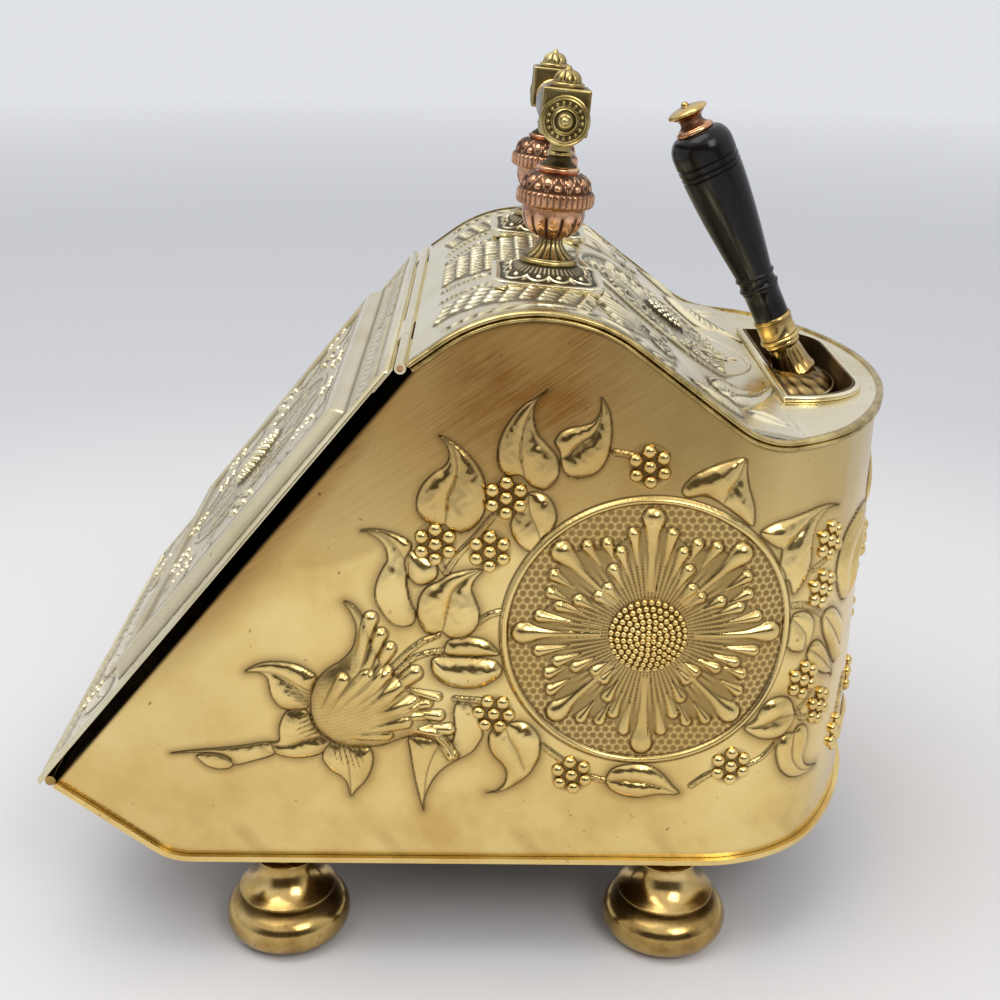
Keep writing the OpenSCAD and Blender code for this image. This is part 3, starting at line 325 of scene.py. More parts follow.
def footDark(r, z, angle):
    # under the neck's ring, in the groove over the bun, on its sole, and round its shoulder and lip
    rings = 0.4 * ease(z, -17.5, -15) * (z < -14.4) + 0.6 * (r < 24.4 and -37.2 < z < -35.2) + 0.4 * (z < -61)
    # the bun's top slope is darkened just under the shoulder ring: painted shade
    bun = 0.55 * (r > 22) * ease(z, -42, -38) * (z < -36)
    return rings + bun + 0.25 * (r > 22) * ease(-z, 31, 33.5) * (z > -35)


for end in ("front", "back"):
    for side, hand in hands:
        node = "%s_%s_foot" % (end, hand)
        place = bodyPlace @ Matrix.Translation((side * foot["side"], foot[end], 0))
        turnedPiece("turned_" + node, "body", castBrass, node, place, footProfile, foot["steps"],
                    dark=footDark)
print("feet: 4")

# Handle posts: heights over the top sheet

post = {"flange": 55.4, "corner": 9, "lip": 4, "root": 13.6, "swagged": 0.74, "flutes": 16, "gadroons": 12,
        "ribs": 38, "blockSize": 23, "blockHigh": 21.8, "blockFoot": 70.4, "finialFoot": 92.2}


def squareReach(angle, half, corner):
    # Distance from the middle to the edge of a square with rounded corners
    c, s = abs(math.cos(angle)), abs(math.sin(angle))
    if c < s:
        c, s = s, c
    if s / c * half <= half - corner:
        return half / c
    m = half - corner
    along = m * (c + s)
    return along + math.sqrt(max(along * along - 2 * m * m + corner * corner, 0))


def flangeShape(across, up):
    # up runs from the round step out over the swags and the lip, and down the skirt
    angle = 2 * math.pi * across
    lipStart = squareReach(angle, post["flange"] / 2, post["corner"]) - post["lip"]
    if up < post["swagged"]:
        t = up / post["swagged"]
        r = post["root"] + (lipStart - post["root"]) * t
        swag = abs(math.sin(6 * angle))  # three on each side
        h = 2.0 + 6.6 * (1 - t) ** 1.7
        h += (0.7 * math.exp(-((t - 0.5 - 0.3 * swag) / 0.04) ** 2)
              + 0.7 * max(1 - (t - 0.62) ** 2 / 0.05, 0) * max(1 - swag / 0.3, 0))
        near = (abs((6 * angle / math.pi) % 1 - 0.5) / 0.11) ** 2 + ((t - 0.5) / 0.07) ** 2
        h += 1.0 * math.sqrt(max(1 - near, 0))  # the bead in each swag
        h += 0.28 * math.cos(48 * angle) * ease(t, 0.05, 0.15) * (1 - ease(t, 0.3, 0.42))
    else:
        lip = post["lip"]
        rail = [(0, 1.75), (0.25, 1.75), (0.4, 2.2), (lip - 0.7, 2.2), (lip - 0.2, 2.0), (lip, 1.5),
                (lip, -2), (lip - 3, -2)]
        place = (up - post["swagged"]) / (1 - post["swagged"]) * (len(rail) - 1)
        i = min(int(place), len(rail) - 2)
        f = place - i
        r = lipStart + rail[i][0] * (1 - f) + rail[i + 1][0] * f
        h = rail[i][1] * (1 - f) + rail[i + 1][1] * f
    return Vector((r * math.cos(angle), r * math.sin(angle), h))


waistProfile = ([(3, 8.2), (13.6, 8.2), (14.4, 8.5), (14.8, 9.3), (14.75, 10.1), (14.2, 10.8), (13.3, 11),
                 (12.9, 10.9), (12.6, 11.3)] + flarePoints(5.9, 6.7, 11.5, 8.3, 18) + [(3, 19.9)])
bowlTurns = [math.radians(90 * i / 22) for i in range(1, 23)]
bowlProfile = ([(3, 19.9), (5.9, 19.9), (6.3, 20.2), (6.2, 20.8), (5.9, 21)]
               + [(5.9 + 9.4 * math.sin(a), 21 + 13.2 * (1 - math.cos(a))) for a in bowlTurns]
               + [(15.5, 35.2), (15.8, 35.9), (16.4, 36.4), (17.6, 36.5), (18.3, 36.8), (18.75, 37.4),
                  (18.9, 38.2), (18.9, 40.2), (18.9, 42.3), (18.75, 43.1), (18.3, 43.7), (17.6, 44),
                  (17.1, 44)]
               + arcPoints(10.6, 44.1, 6.4, 0, 90, 20, 8.2)[1:-1]
               + [(10.1, 52.4), (9.8, 52.7)] + arcPoints(9.5, 53.9, 1.15, -80, 90, 8) + [(8.5, 55), (3, 55)])
stemProfile = ([(3, 55), (8.9, 55.05), (9, 55.5)] + flarePoints(5.3, 3.5, 55.8, 4, 10)
               + arcPoints(5.2, 61.3, 1.3, -90, 90, 8)
               + [(5.1, 62.7), (5.1, 69.3), (5.6, 69.8), (5.8, 70.4), (3, 70.4)])
finialProfile = ([(0.5, 0), (8.2, 0), (8.4, 0.4), (8.4, 1.5), (8.1, 2), (7.4, 2.3), (6.8, 2.4)]
                 + arcPoints(2.0, 2.5, 4.9, 0, 90, 14, 5.4)[1:-1]
                 + [(1.9, 7.9)] + arcPoints(0, 8.4, 1.5, 10, 90, 5))


def waistFlutes(r, z, angle):
    deep = ease(z, 11.2, 12.5) * (1 - ease(z, 19, 19.8))
    return r - deep * 0.09 * r * (0.5 - 0.5 * abs(math.sin(post["flutes"] / 2 * angle)) ** 0.6) * 2, z


def urnChasing(r, z, angle):
    if 21 < z < 33.5:  # gadroons with a rounded end and a slim dart between
        lobe = abs(math.cos(post["gadroons"] / 2 * angle))
        deep = ease(z, 21, 22.5) * (1 - ease(z, 31.2 + 1.8 * lobe, 32.2 + 1.8 * lobe))
        r += deep * (1.1 * lobe ** 0.45 - 0.75) * min(1, r / 12)
        r += 0.45 * deep * math.exp(-((1 - lobe) / 0.86) ** 8) * (lobe < 0.16)
    elif 37 < z < 43.6:  # the ribbed band
        r += 0.34 * math.cos(post["ribs"] * angle) * ease(z, 37, 38) * (1 - ease(z, 42.6, 43.6))
    elif 44.3 < z < 52:  # dome: beaded zigzag with smooth bosses in it
        t = (z - 44.3) / 7.7
        turn = (angle / (2 * math.pi) * 10) % 1
        zig = abs(2 * turn - 1)
        line = abs(t * 0.9 + 0.05 - zig) / 0.13
        bead = 0.5 + 0.5 * math.cos(2 * math.pi * turn * 9)
        r += 0.5 * max(0, 1 - line * line) * bead
        boss = ((turn - 0.5) / 0.2) ** 2 + ((t - 0.62) / 0.24) ** 2
        r += 0.75 * math.sqrt(max(1 - boss, 0))
        boss = (min(turn, 1 - turn) / 0.17) ** 2 + ((t - 0.26) / 0.2) ** 2
        r += 0.7 * math.sqrt(max(1 - boss, 0))
    return r, z


def finialRibs(r, z, angle):
    deep = ease(z, 2.3, 3) * (1 - ease(z, 7.2, 7.9))
    return r - deep * 0.16 * r * (1 - abs(math.cos(4.5 * angle)) ** 0.5), z


def urnDark(r, z, angle):
    if z < 34.2:
        smooth = 5.9 + 9.4 * math.sin(math.acos(min(max(1 - (z - 21) / 13.2, -1), 1))) if z > 21 else r
        return min(max(0.15 + (smooth + 0.1 - r) * 2.4, 0), 0.95) if z > 21 else 0.5
    if z < 36.6:
        return 0.3
    if z < 44.05:
        return 0.75 * (1 - ease(r, 18.45, 19.0)) if z > 37 else 0.2
    if z < 52.3:
        smooth = 10.6 + 6.4 * math.sqrt(max(1 - ((z - 44.1) / 8.2) ** 2, 0))
        return min(max(0.85 - (r - smooth) * 2.6, 0), 0.9)
    return 0.05


def flangeDark(point):
    # dark on the swags' ground, none on the lip
    reach = squareReach(math.atan2(point.y, point.x), post["flange"] / 2, post["corner"])
    t = (point.xy.length - post["root"]) / max(reach - post["lip"] - post["root"], 0.1)
    if t > 1:
        return 0.0
    over = max(point.z - 2.05 - 6.6 * (1 - t) ** 1.7, 0)
    return min(max(0.95 - 2.2 * over, 0), 1) * ease(1.01 - t, 0, 0.05)


def waistDark(r, z, angle):
    return 0.95 * (1 - abs(math.sin(8 * angle)) ** 1.5) * ease(z, 11, 12) + 0.6 * (11 <= z < 11.6)


def stemDark(r, z, angle):
    return 0.9 * ease(z, 55, 55.6) * (1 - ease(z, 59.8, 60.4)) + 0.5 * (69.2 < z < 69.9)


def finialDark(r, z, angle):
    return 0.85 * (1 - abs(math.cos(4.5 * angle)) ** 0.5) * ease(z, 2.2, 3) + 0.6 * (2.2 < z < 2.6)


for side, hand in hands:
    at = postPlace(side)
    bm = mapGrid(288, 60, flangeShape)
    layer = bm.verts.layers.float.new("patinaAndPaintedShade")
    for vert in bm.verts:
        vert[layer] = flangeDark(vert.co)
    bmesh.ops.transform(bm, matrix=at, verts=bm.verts)
    finishPiece(bm, hand + "_chased_flange", "body", paleLitTopBrass, (hand + "_post_flange",), crease=50)
    turnedPiece(hand + "_fluted_waist", "body", agedCastBrass, hand + "_post_waist", at, waistProfile, 192,
                waistFlutes, dark=waistDark)
    turnedPiece(hand + "_copper_urn", "body", polishedCopper, hand + "_post_urn", at, bowlProfile, 304,
                urnChasing, crease=60, dark=urnDark)
    turnedPiece(hand + "_ringed_stem", "body", agedCastBrass, hand + "_post_stem", at, stemProfile, 64,
                dark=stemDark)
    bm = bmesh.new()
    bmesh.ops.create_cube(bm, size=1)
    bmesh.ops.scale(bm, vec=(post["blockSize"], post["blockSize"], post["blockHigh"]), verts=bm.verts)
    bmesh.ops.bevel(bm, geom=bm.edges, offset=0.9, offset_type="OFFSET", segments=3, profile=0.5,
                    affect="EDGES", clamp_overlap=True, material=-1)
    # dark faces inside rubbed edges
    layer = bm.verts.layers.float.new("patinaAndPaintedShade")
    faces = [face for face in bm.faces if face.calc_area() > 300]
    bmesh.ops.inset_individual(bm, faces=faces, thickness=1.1, depth=-0.15)
    for face in faces:
        for vert in face.verts:
            vert[layer] = 0.7
    up = post["blockFoot"] + post["blockHigh"] / 2
    bmesh.ops.transform(bm, matrix=at @ Matrix.Translation((0, 0, up)), verts=bm.verts)
    finishPiece(bm, hand + "_square_block", "body", agedCastBrass, (hand + "_post_block",))
    place = at @ Matrix.Translation((0, 0, post["finialFoot"]))
    turnedPiece(hand + "_ribbed_finial", "body", agedCastBrass, hand + "_post_finial", place, finialProfile,
                108, finialRibs, dark=finialDark)
print("posts: 2 with flange, waist, urn, stem, block and finial")

# Carrying handle

bar = {"half": 57.5, "ferrule": 8, "middle": 11, "end": 7.5, "bore": 2.6, "grooves": (8, 11),
       "bossFoot": 80.5, "dots": 17}
barTurns = [math.radians(90 * i / 20) for i in range(-20, 21)]
barProfile = [(bar["end"] + (bar["middle"] - bar["end"]) * math.cos(a),
               (bar["half"] - bar["ferrule"]) * i / 20) for i, a in enumerate(barTurns, -20)]
barProfile = [(bar["bore"], barProfile[0][1])] + barProfile + [(bar["bore"], barProfile[-1][1])]


def barGrooves(r, z, angle):
    cut = any(abs(abs(z) - groove) < 0.6 for groove in bar["grooves"])
    return (r - 0.35 * cut if r > 3 else r), z


turnedPiece("turned_handle_bar", "body", ebonisedBeech, "handle_bar", rodPlace, barProfile, 64, barGrooves)
endProfile = ([(2.6, 49.5), (8.1, 49.5), (8.4, 49.9), (8.4, 52.2), (8.7, 52.5)]
              + arcPoints(8.2, 53.5, 1, -80, 80, 8) + [(8.7, 54.5), (8.4, 54.8), (8.3, 57.5), (2.6, 57.5)])
bm = bmesh.new()
for side in (1, -1):
    turnProfile(bm, [(r, side * z) for r, z in endProfile], 64)
bmesh.ops.transform(bm, matrix=rodPlace, verts=bm.verts)
finishPiece(bm, "bar_end_ferrules", "body", castBrass, ("handle_ferrules",))

bossProfile = ([(0.5, 0), (11.6, 0), (12, 0.4), (12, 1.7), (11.7, 2.3), (11.2, 2.5), (10.8, 2.2),
                (10.5, 2.05), (10.2, 2.25), (9.8, 2.35), (9.4, 2.1), (9.2, 1.9), (8.7, 1.85), (8.1, 1.85),
                (7.5, 1.85), (7.3, 2.1), (7, 2.6), (6.6, 3.1), (6.2, 3.0), (6.0, 2.9), (5.7, 3.3),
                (5.3, 3.5), (4.9, 3.2), (4.6, 2.8), (3.6, 3.5), (2.9, 4.1), (2.5, 4.3)] + arcPoints(0, 3.9, 2.35, 10, 90, 8))


def bossDots(r, z, angle):
    # a ring of raised dots between two of the boss's rings
    dot = max(1 - ((r - 8.2) / 0.95) ** 2 - (math.sin(bar["dots"] / 2 * angle) / 0.78) ** 2, 0)
    return r, z + (0.62 * math.sqrt(dot) if 7.3 < r < 9.2 else 0)


def bossDark(r, z, angle):
    return (0.8 * (z < 2.12 and r < 11.5) + 0.8 * (2.9 < r < 4.8) * (z < 4)
            + 0.7 * (5.75 < r < 6.25 and z < 3.2))


for side, hand in hands:
    place = rodPlace @ Matrix.Translation((0, 0, side * bar["bossFoot"])) @ rotated(90 - 90 * side, "X")
    turnedPiece(hand + "_ringed_boss", "body", agedCastBrass, hand + "_handle_boss", place, bossProfile, 136,
                bossDots, dark=bossDark)
print("carrying handle: bar, ferrules, bosses")

# Shovel: grip, collar and cap, from the grip's foot up

grip = {"foot": 15, "length": 110, "widest": 16.9, "swell": 28, "grooves": (86.9, 89.8, 93.7), "collar": 125,
        "cap": 134.5}
headStart = grip["length"] - grip["widest"] * 0.62
swellLong = grip["grooves"][0] - 1.2 - grip["swell"]


def gripRadius(z):
    return 10.5 + 6.4 * math.sin(math.radians(90 * min((z - grip["swell"]) / (headStart - grip["swell"]), 1)))


def gripPiece(name, material, node, up, profile, steps, tool=None, dark=None):
    # A turned piece of the shovel's handle, up from the foot of its ferrule
    place = gripPlace @ Matrix.Translation((0, 0, up))
    turnedPiece(name, "shovel", material, node, place, profile, steps, tool, dark=dark)


gripProfile = [(3, 0), (9.7, 0), (9.8, 8), (9.9, 15.6), (10.3, 16.2)] + arcPoints(10, 18.9, 1.1, -70, 70, 6)
gripProfile += [(10, 21.2), (10, 22.8)] + arcPoints(9.9, 25.2, 1.2, -70, 70, 6) + [(10.4, 27.2)]
gripProfile += [(gripRadius(z), z) for z in (grip["swell"] + swellLong * i / 24 for i in range(25))]
for low in grip["grooves"]:
    gripProfile += [(gripRadius(low - 0.8), low - 0.8), (gripRadius(low) - 0.75, low - 0.15),
                    (gripRadius(low) - 0.75, low + 0.15), (gripRadius(low + 0.8), low + 0.8)]
gripProfile += [(gripRadius(z), z) for z in (95.6, 97.5)]
gripProfile += arcPoints(9.8, headStart, 7.1, 0, 90, 14, 10.4) + [(3, grip["length"])]
gripPiece("turned_shovel_grip", ebonisedBeech, "shovel_grip", grip["foot"], gripProfile, 80)

collarProfile = ([(3, 0), (9.6, 0), (10.2, 0.4), (10.3, 1.2), (9.9, 1.9), (9.2, 2.2), (9, 2.5), (8.8, 2.7)]
                 + [(6 + 2.6 * abs(2 * i / 12 - 1) ** 2.2, 2.7 + 6.6 * i / 12) for i in range(13)]
                 + [(8.2, 9.5), (3, 9.5)])
gripPiece("copper_collar", polishedCopper, "shovel_collar", grip["collar"], collarProfile, 64,
          dark=lambda r, z, a: 0.75 * ease(z, 2.6, 4) * (1 - ease(z, 7, 9)))
capProfile = ([(3, 0), (7.9, 0), (8.3, 0.2), (10.1, 0.7), (10.7, 1.1), (10.9, 1.7)]
              + arcPoints(0, 1.7, 10.9, 0, 90, 14, 3.1)[1:12]
              + [(2.9, 4.55), (2.3, 4.5)] + arcPoints(0, 5.1, 2.1, -10, 90, 7))
gripPiece("beaded_cap", castBrass, "shovel_cap", grip["cap"], capProfile, 64,
          dark=lambda r, z, a: 0.7 * (2 < r < 3.2 and 4.2 < z < 4.7))
ferruleProfile = ([(3.1, 0), (9.7, 0)] + arcPoints(9.8, 1.5, 1.5, -80, 80, 8)
                  + [(10.4, 3.1), (10.6, 3.5), (10.3, 4), (10.2, 9), (10.3, 12.6), (10.7, 13), (10.8, 13.8),
                     (10.4, 14.6), (10.1, 15), (3.1, 15)])
gripPiece("grip_ferrule", castBrass, "shovel_ferrule", 0, ferruleProfile, 64,
          dark=lambda r, z, a: 0.6 * (3 < z < 3.7) + 0.5 * (12.4 < z < 12.9))

# the cast socket: eight facets with a leaf on each, from the heel up to the ferrule
socketProfile = [(3.1, -27), (12, -27), (11.5, -25), (10.9, -22.5), (11, -21.2), (11.9, -20.6), (12.2, -19.6),
                 (11.8, -18.6), (10.7, -16.5), (9.9, -13.5), (9.3, -10), (8.8, -7), (8.5, -4.5), (8.6, -3.4),
                 (9.1, -2.9), (9.6, -2.2), (9.6, -0.5), (9.2, 0), (3.1, 0)]


def socketFacets(r, z, angle):
    leaf = 0.05 * math.cos(4 * angle) ** 2 + 0.035 * abs(math.cos(8 * angle)) - 0.04
    return r * (1 + leaf * ease(-z, 3.4, 6) * (1 - ease(-z, 18.2, 19.4))), z


def socketDark(r, z, angle):
    return (0.6 * (-4.4 < z < -2.8) + 0.6 * (-22.8 < z < -20.9)
            + 0.5 * (1 - abs(math.cos(8 * angle)) ** 0.5) * ease(-z, 4, 7) * (1 - ease(-z, 18, 19)))


gripPiece("cast_socket", castBrass, "shovel_socket", 0, socketProfile, 96, socketFacets, socketDark)
print("shovel handle: grip, collar, cap, ferrule, socket")


# Chasing: raised work as a height over the sheet and a darkness of its lines. A work holds the points of
# one sheet as they lie when it's flat, along u and up v, with the height, dark and brown of each

def smoothLine(points, closed, steps=5):
    # A curve through the points
    pts = np.array(points, dtype=float)
    count = len(pts)
    out = []
    for i in range(count if closed else count - 1):
        near = [(i + k) % count if closed else min(max(i + k, 0), count - 1) for k in (-1, 0, 1, 2)]
        a, b, c, d = pts[near]
        for t in np.arange(steps) / steps:
            out.append(0.5 * (2 * b + (c - a) * t + (2 * a - 5 * b + 4 * c - d) * t * t
                              + (3 * b - a - 3 * c + d) * t ** 3))
    if not closed:
        out.append(pts[-1])
    return np.array(out)


def lineDistance(u, v, line, closed):
    # Distance from each point to a line, and how far along the line its nearest place is, from 0 to 1
    best, along = np.full(u.shape, 1e9), np.zeros(u.shape)
    ends = np.roll(line, -1, axis=0) if closed else line[1:]
    starts = line if closed else line[:-1]
    for i, (p, q) in enumerate(zip(starts, ends)):
        run = q - p
        length = max(run @ run, 1e-9)
        t = np.clip(((u - p[0]) * run[0] + (v - p[1]) * run[1]) / length, 0, 1)
        gap = np.hypot(u - p[0] - t * run[0], v - p[1] - t * run[1])
        near = gap < best
        best[near] = gap[near]
        along[near] = (i + t[near]) / len(starts)
    return best, along


def insideLine(u, v, line):
    inside = np.zeros(u.shape, dtype=bool)
    for p, q in zip(line, np.roll(line, -1, axis=0)):
        if p[1] != q[1]:
            cross = (p[1] > v) != (q[1] > v)
            inside ^= cross & (u < (q[0] - p[0]) * (v - p[1]) / (q[1] - p[1]) + p[0])
    return inside


def nearbyPoints(work, low, high, margin):
    u, v = work["u"], work["v"]
    return np.nonzero((u > low[0] - margin) & (u < high[0] + margin)
                      & (v > low[1] - margin) & (v < high[1] + margin))[0]


everywhere = slice(None)


def lift(work, picked, height):
    work["height"][picked] = np.maximum(work["height"][picked], height)


def darken(work, picked, tone):
    work["dark"][picked] = np.maximum(work["dark"][picked], tone)


def pressLeaf(work, outline, vein, height, width=None):
    # A cushion inside an outline whose first point is the tip; a vein makes two, with a crease between
    edge = smoothLine(outline, True)
    picked = nearbyPoints(work, edge.min(axis=0), edge.max(axis=0), 9)
    if not len(picked):
        return
    u, v = work["u"][picked], work["v"][picked]
    gap, _ = lineDistance(u, v, edge, True)
    inner = insideLine(u, v, edge)
    if vein:
        crease, _ = lineDistance(u, v, smoothLine(vein, False), False)
        across = gap + crease + 0.6
        swell = 4 * gap * (crease + 0.6) / across ** 2
    else:
        half = width or max(np.where(inner, gap, 0).max(), 1.0)
        across = 2 * half
        swell = 1 - (1 - np.clip(gap / half, 0, 1)) ** 2
    rise = height * 0.09 * np.minimum(across, 14) * swell
    # hammer marks
    rise += 0.13 * swell * np.sin(0.85 * u + 1.3 * np.sin(0.45 * v)) * np.sin(0.75 * v + np.sin(0.6 * u))
    line = np.exp(-(gap / 0.55) ** 2)
    ground = work["height"][picked]
    pressed = np.where(inner, np.maximum(ground * 0.3, 0.2) + rise, ground)
    work["height"][picked] = pressed - 0.3 * line * ~inner
    work["dark"][picked] = np.maximum(work["dark"][picked] * (0.25 + 0.75 * ~inner), 0.92 * line)
    # a soft dark halo round the leaf: painted shade at the foot of the relief, with grime
    darken(work, picked, 0.3 * np.exp(-(gap / 2.2) ** 2) * ~inner)
    if vein:
        darken(work, picked, 0.7 * np.exp(-(crease / 0.4) ** 2) * inner)
    # leaves are polished, the sheet close round them isn't; its browning there is also painted shade at the
    # relief's foot
    brown = work["brown"][picked]
    work["brown"][picked] = np.where(inner, 0.6 * brown, np.maximum(brown, 0.4 * np.exp(-(gap / 4.5) ** 2)))


def pressFinger(work, tip, root, tipRadius, rootRadius, height, over=False, neck=None):
    # A teardrop from its round tip to its slim root, or with a neck behind a round head
    a, b = np.array(tip, dtype=float), np.array(root, dtype=float)
    low, high = np.minimum(a, b), np.maximum(a, b)
    picked = nearbyPoints(work, low, high, tipRadius + 1.5)
    if not len(picked):
        return
    u, v = work["u"][picked], work["v"][picked]
    run = b - a
    t = np.clip(((u - a[0]) * run[0] + (v - a[1]) * run[1]) / (run @ run), 0, 1)
    radius = tipRadius + (rootRadius - tipRadius) * t
    fall = (1 - t) ** 0.75 if over else 1 - 0.6 * t
    if neck:
        head = np.exp(-(t / neck["where"]) ** 2)
        radius = neck["radius"] + (rootRadius - neck["radius"]) * t + (tipRadius - neck["radius"]) * head
        fall = (0.5 + 0.5 * head) * (1 - 0.45 * t)
    gap = np.hypot(u - a[0] - t * run[0], v - a[1] - t * run[1])
    q = gap / radius
    rise = height * np.clip(1 - q * q, 0, 1) ** 0.75 * fall
    ground = work["height"][picked]
    work["height"][picked] = ground + rise if over else np.maximum(ground, rise)
    line = np.exp(-((gap - radius - 0.25) / 0.45) ** 2) * (1 - t) ** 0.8
    keep = 0.15 + 0.85 * t if over else 0.15
    dark, brown = work["dark"][picked], work["brown"][picked]
    work["dark"][picked] = np.where(q < 0.85, dark * keep, np.maximum(dark, 0.85 * line))
    work["brown"][picked] = np.where(q < 0.9, brown * (0.1 + 0.8 * t), brown)


def inkStroke(work, root, tip):
    # A dark chased stroke that thins out towards its tip
    run = np.subtract(tip, root).astype(float)
    picked = nearbyPoints(work, np.minimum(root, tip), np.maximum(root, tip), 1.5)
    if not len(picked):
        return
    u, v = work["u"][picked] - root[0], work["v"][picked] - root[1]
    t = np.clip((u * run[0] + v * run[1]) / (run @ run), 0, 1)
    gap = np.hypot(u - t * run[0], v - t * run[1])
    ink = np.exp(-(gap / (0.42 * (1 - 0.6 * t))) ** 2)
    darken(work, picked, 0.95 * ink)
    work["height"][picked] -= 0.25 * ink


def addBead(bm, place, radius, rise):
    # A round berry with a flat foot, so that nothing of it shows behind the sheet
    made = bmesh.ops.create_uvsphere(bm, u_segments=12, v_segments=6, radius=radius)["verts"]
    bmesh.ops.scale(bm, vec=(1, 1, rise / radius), verts=made)
    for vert in made:
        vert.co.z = max(vert.co.z, berry["foot"])
    bmesh.ops.transform(bm, matrix=place, verts=made)


def pressStem(work, points, width=1.6, height=1.3, strands=3):
    # A stem of strands lying side by side, with a little twist
    line = smoothLine(points, False)
    picked = nearbyPoints(work, line.min(axis=0), line.max(axis=0), width + 1)
    if not len(picked):
        return
    u, v = work["u"][picked], work["v"][picked]
    gap, along = lineDistance(u, v, line, False)
    q = gap / width
    ripple = np.abs(np.cos(q * math.pi * strands / 2 + along * 5))
    rise = height * np.sqrt(np.clip(1 - q * q, 0, 1)) * (0.55 + 0.45 * ripple)
    lift(work, picked, rise)
    outside = 0.8 * np.exp(-((gap - width) / 0.45) ** 2)
    darken(work, picked, np.where(q < 1, 0.65 * (1 - ripple) ** 1.5, outside))


def pressLine(work, points, width, depth, dark):
    # A plain chased line
    line = smoothLine(points, False)
    picked = nearbyPoints(work, line.min(axis=0), line.max(axis=0), width * 3)
    if not len(picked):
        return
    gap, _ = lineDistance(work["u"][picked], work["v"][picked], line, False)
    cut = np.exp(-(gap / width) ** 2)
    work["height"][picked] -= depth * cut
    darken(work, picked, dark * cut)


def pressCluster(work, middle):
    # The low mound under a cluster of berries, dark under and round them: painted shade between the berries, with
    # grime
    picked = nearbyPoints(work, middle, middle, 13)
    gap = np.hypot(work["u"][picked] - middle[0], work["v"][picked] - middle[1])
    lift(work, picked, berry["moundHigh"] * np.sqrt(np.clip(1 - (gap / berry["mound"]) ** 2, 0, 1)))
    darken(work, picked, 0.75 * (1 - np.clip((gap - 8.0) / 3.2, 0, 1)))


def honeycomb(du, dv, cell):
    # Dimples on two interleaved rows: 0 in the middle of one, 1 on the walls between them
    row = cell * math.sqrt(3)
    first = np.hypot((du / cell + 0.5) % 1 * cell - cell / 2, (dv / row + 0.5) % 1 * row - row / 2)
    second = np.hypot((du / cell) % 1 * cell - cell / 2, (dv / row) % 1 * row - row / 2)
    return np.clip(np.minimum(first, second) / (cell * 0.5), 0, 1)


def spoke(middle, angle, reach):
    return middle[0] + reach * math.cos(angle), middle[1] + reach * math.sin(angle)


def pressDome(work, picked, flower, power, tone):
    # The dome in the middle of a flower, under its beads, dark as painted shade in the gaps between them
    middle = flower["middle"]
    r = np.hypot(work["u"][picked] - middle[0], work["v"][picked] - middle[1]) / flower["dome"]
    lift(work, picked, flower["domeHeight"] * np.sqrt(np.clip(1 - r * r, 0, 1)) ** power)
    work["dark"][picked] = np.where(r < 1, tone, work["dark"][picked])


def beadRings(flower):
    # (distance, angle) of each bead of a flower's heart, every other ring turned by half a bead
    return [(ring * flower["pitch"], 2 * math.pi * (k + 0.5 * (ring % 2)) / count)
            for ring, count in enumerate(flower["rings"]) for k in range(count)]


# Each finger is (degrees from the quarter's middle, reach, length)
medallion = {"middle": (57.0, 132.7), "radius": 72.4, "dome": 19.6, "domeHeight": 4.6, "cell": 4.1,
             "fingers": ((11.2, 59, 13), (20.6, 55.5, 12), (35.0, 57, 17), (26.0, 49.2, 14), (17.3, 42, 12),
                         (5.5, 34.8, 10)),
             "clubTip": 61.2, "clubRoot": 24, "rings": (1, 6, 12, 18, 23, 28, 33), "pitch": 3.02,
             "bead": 1.65}
fingers = [(math.radians(45 + 90 * k + side * turn), reach, length) for k in range(4) for side in (1, -1)
           for turn, reach, length in medallion["fingers"]]
eighths = [math.radians(45 * k) for k in range(8)]


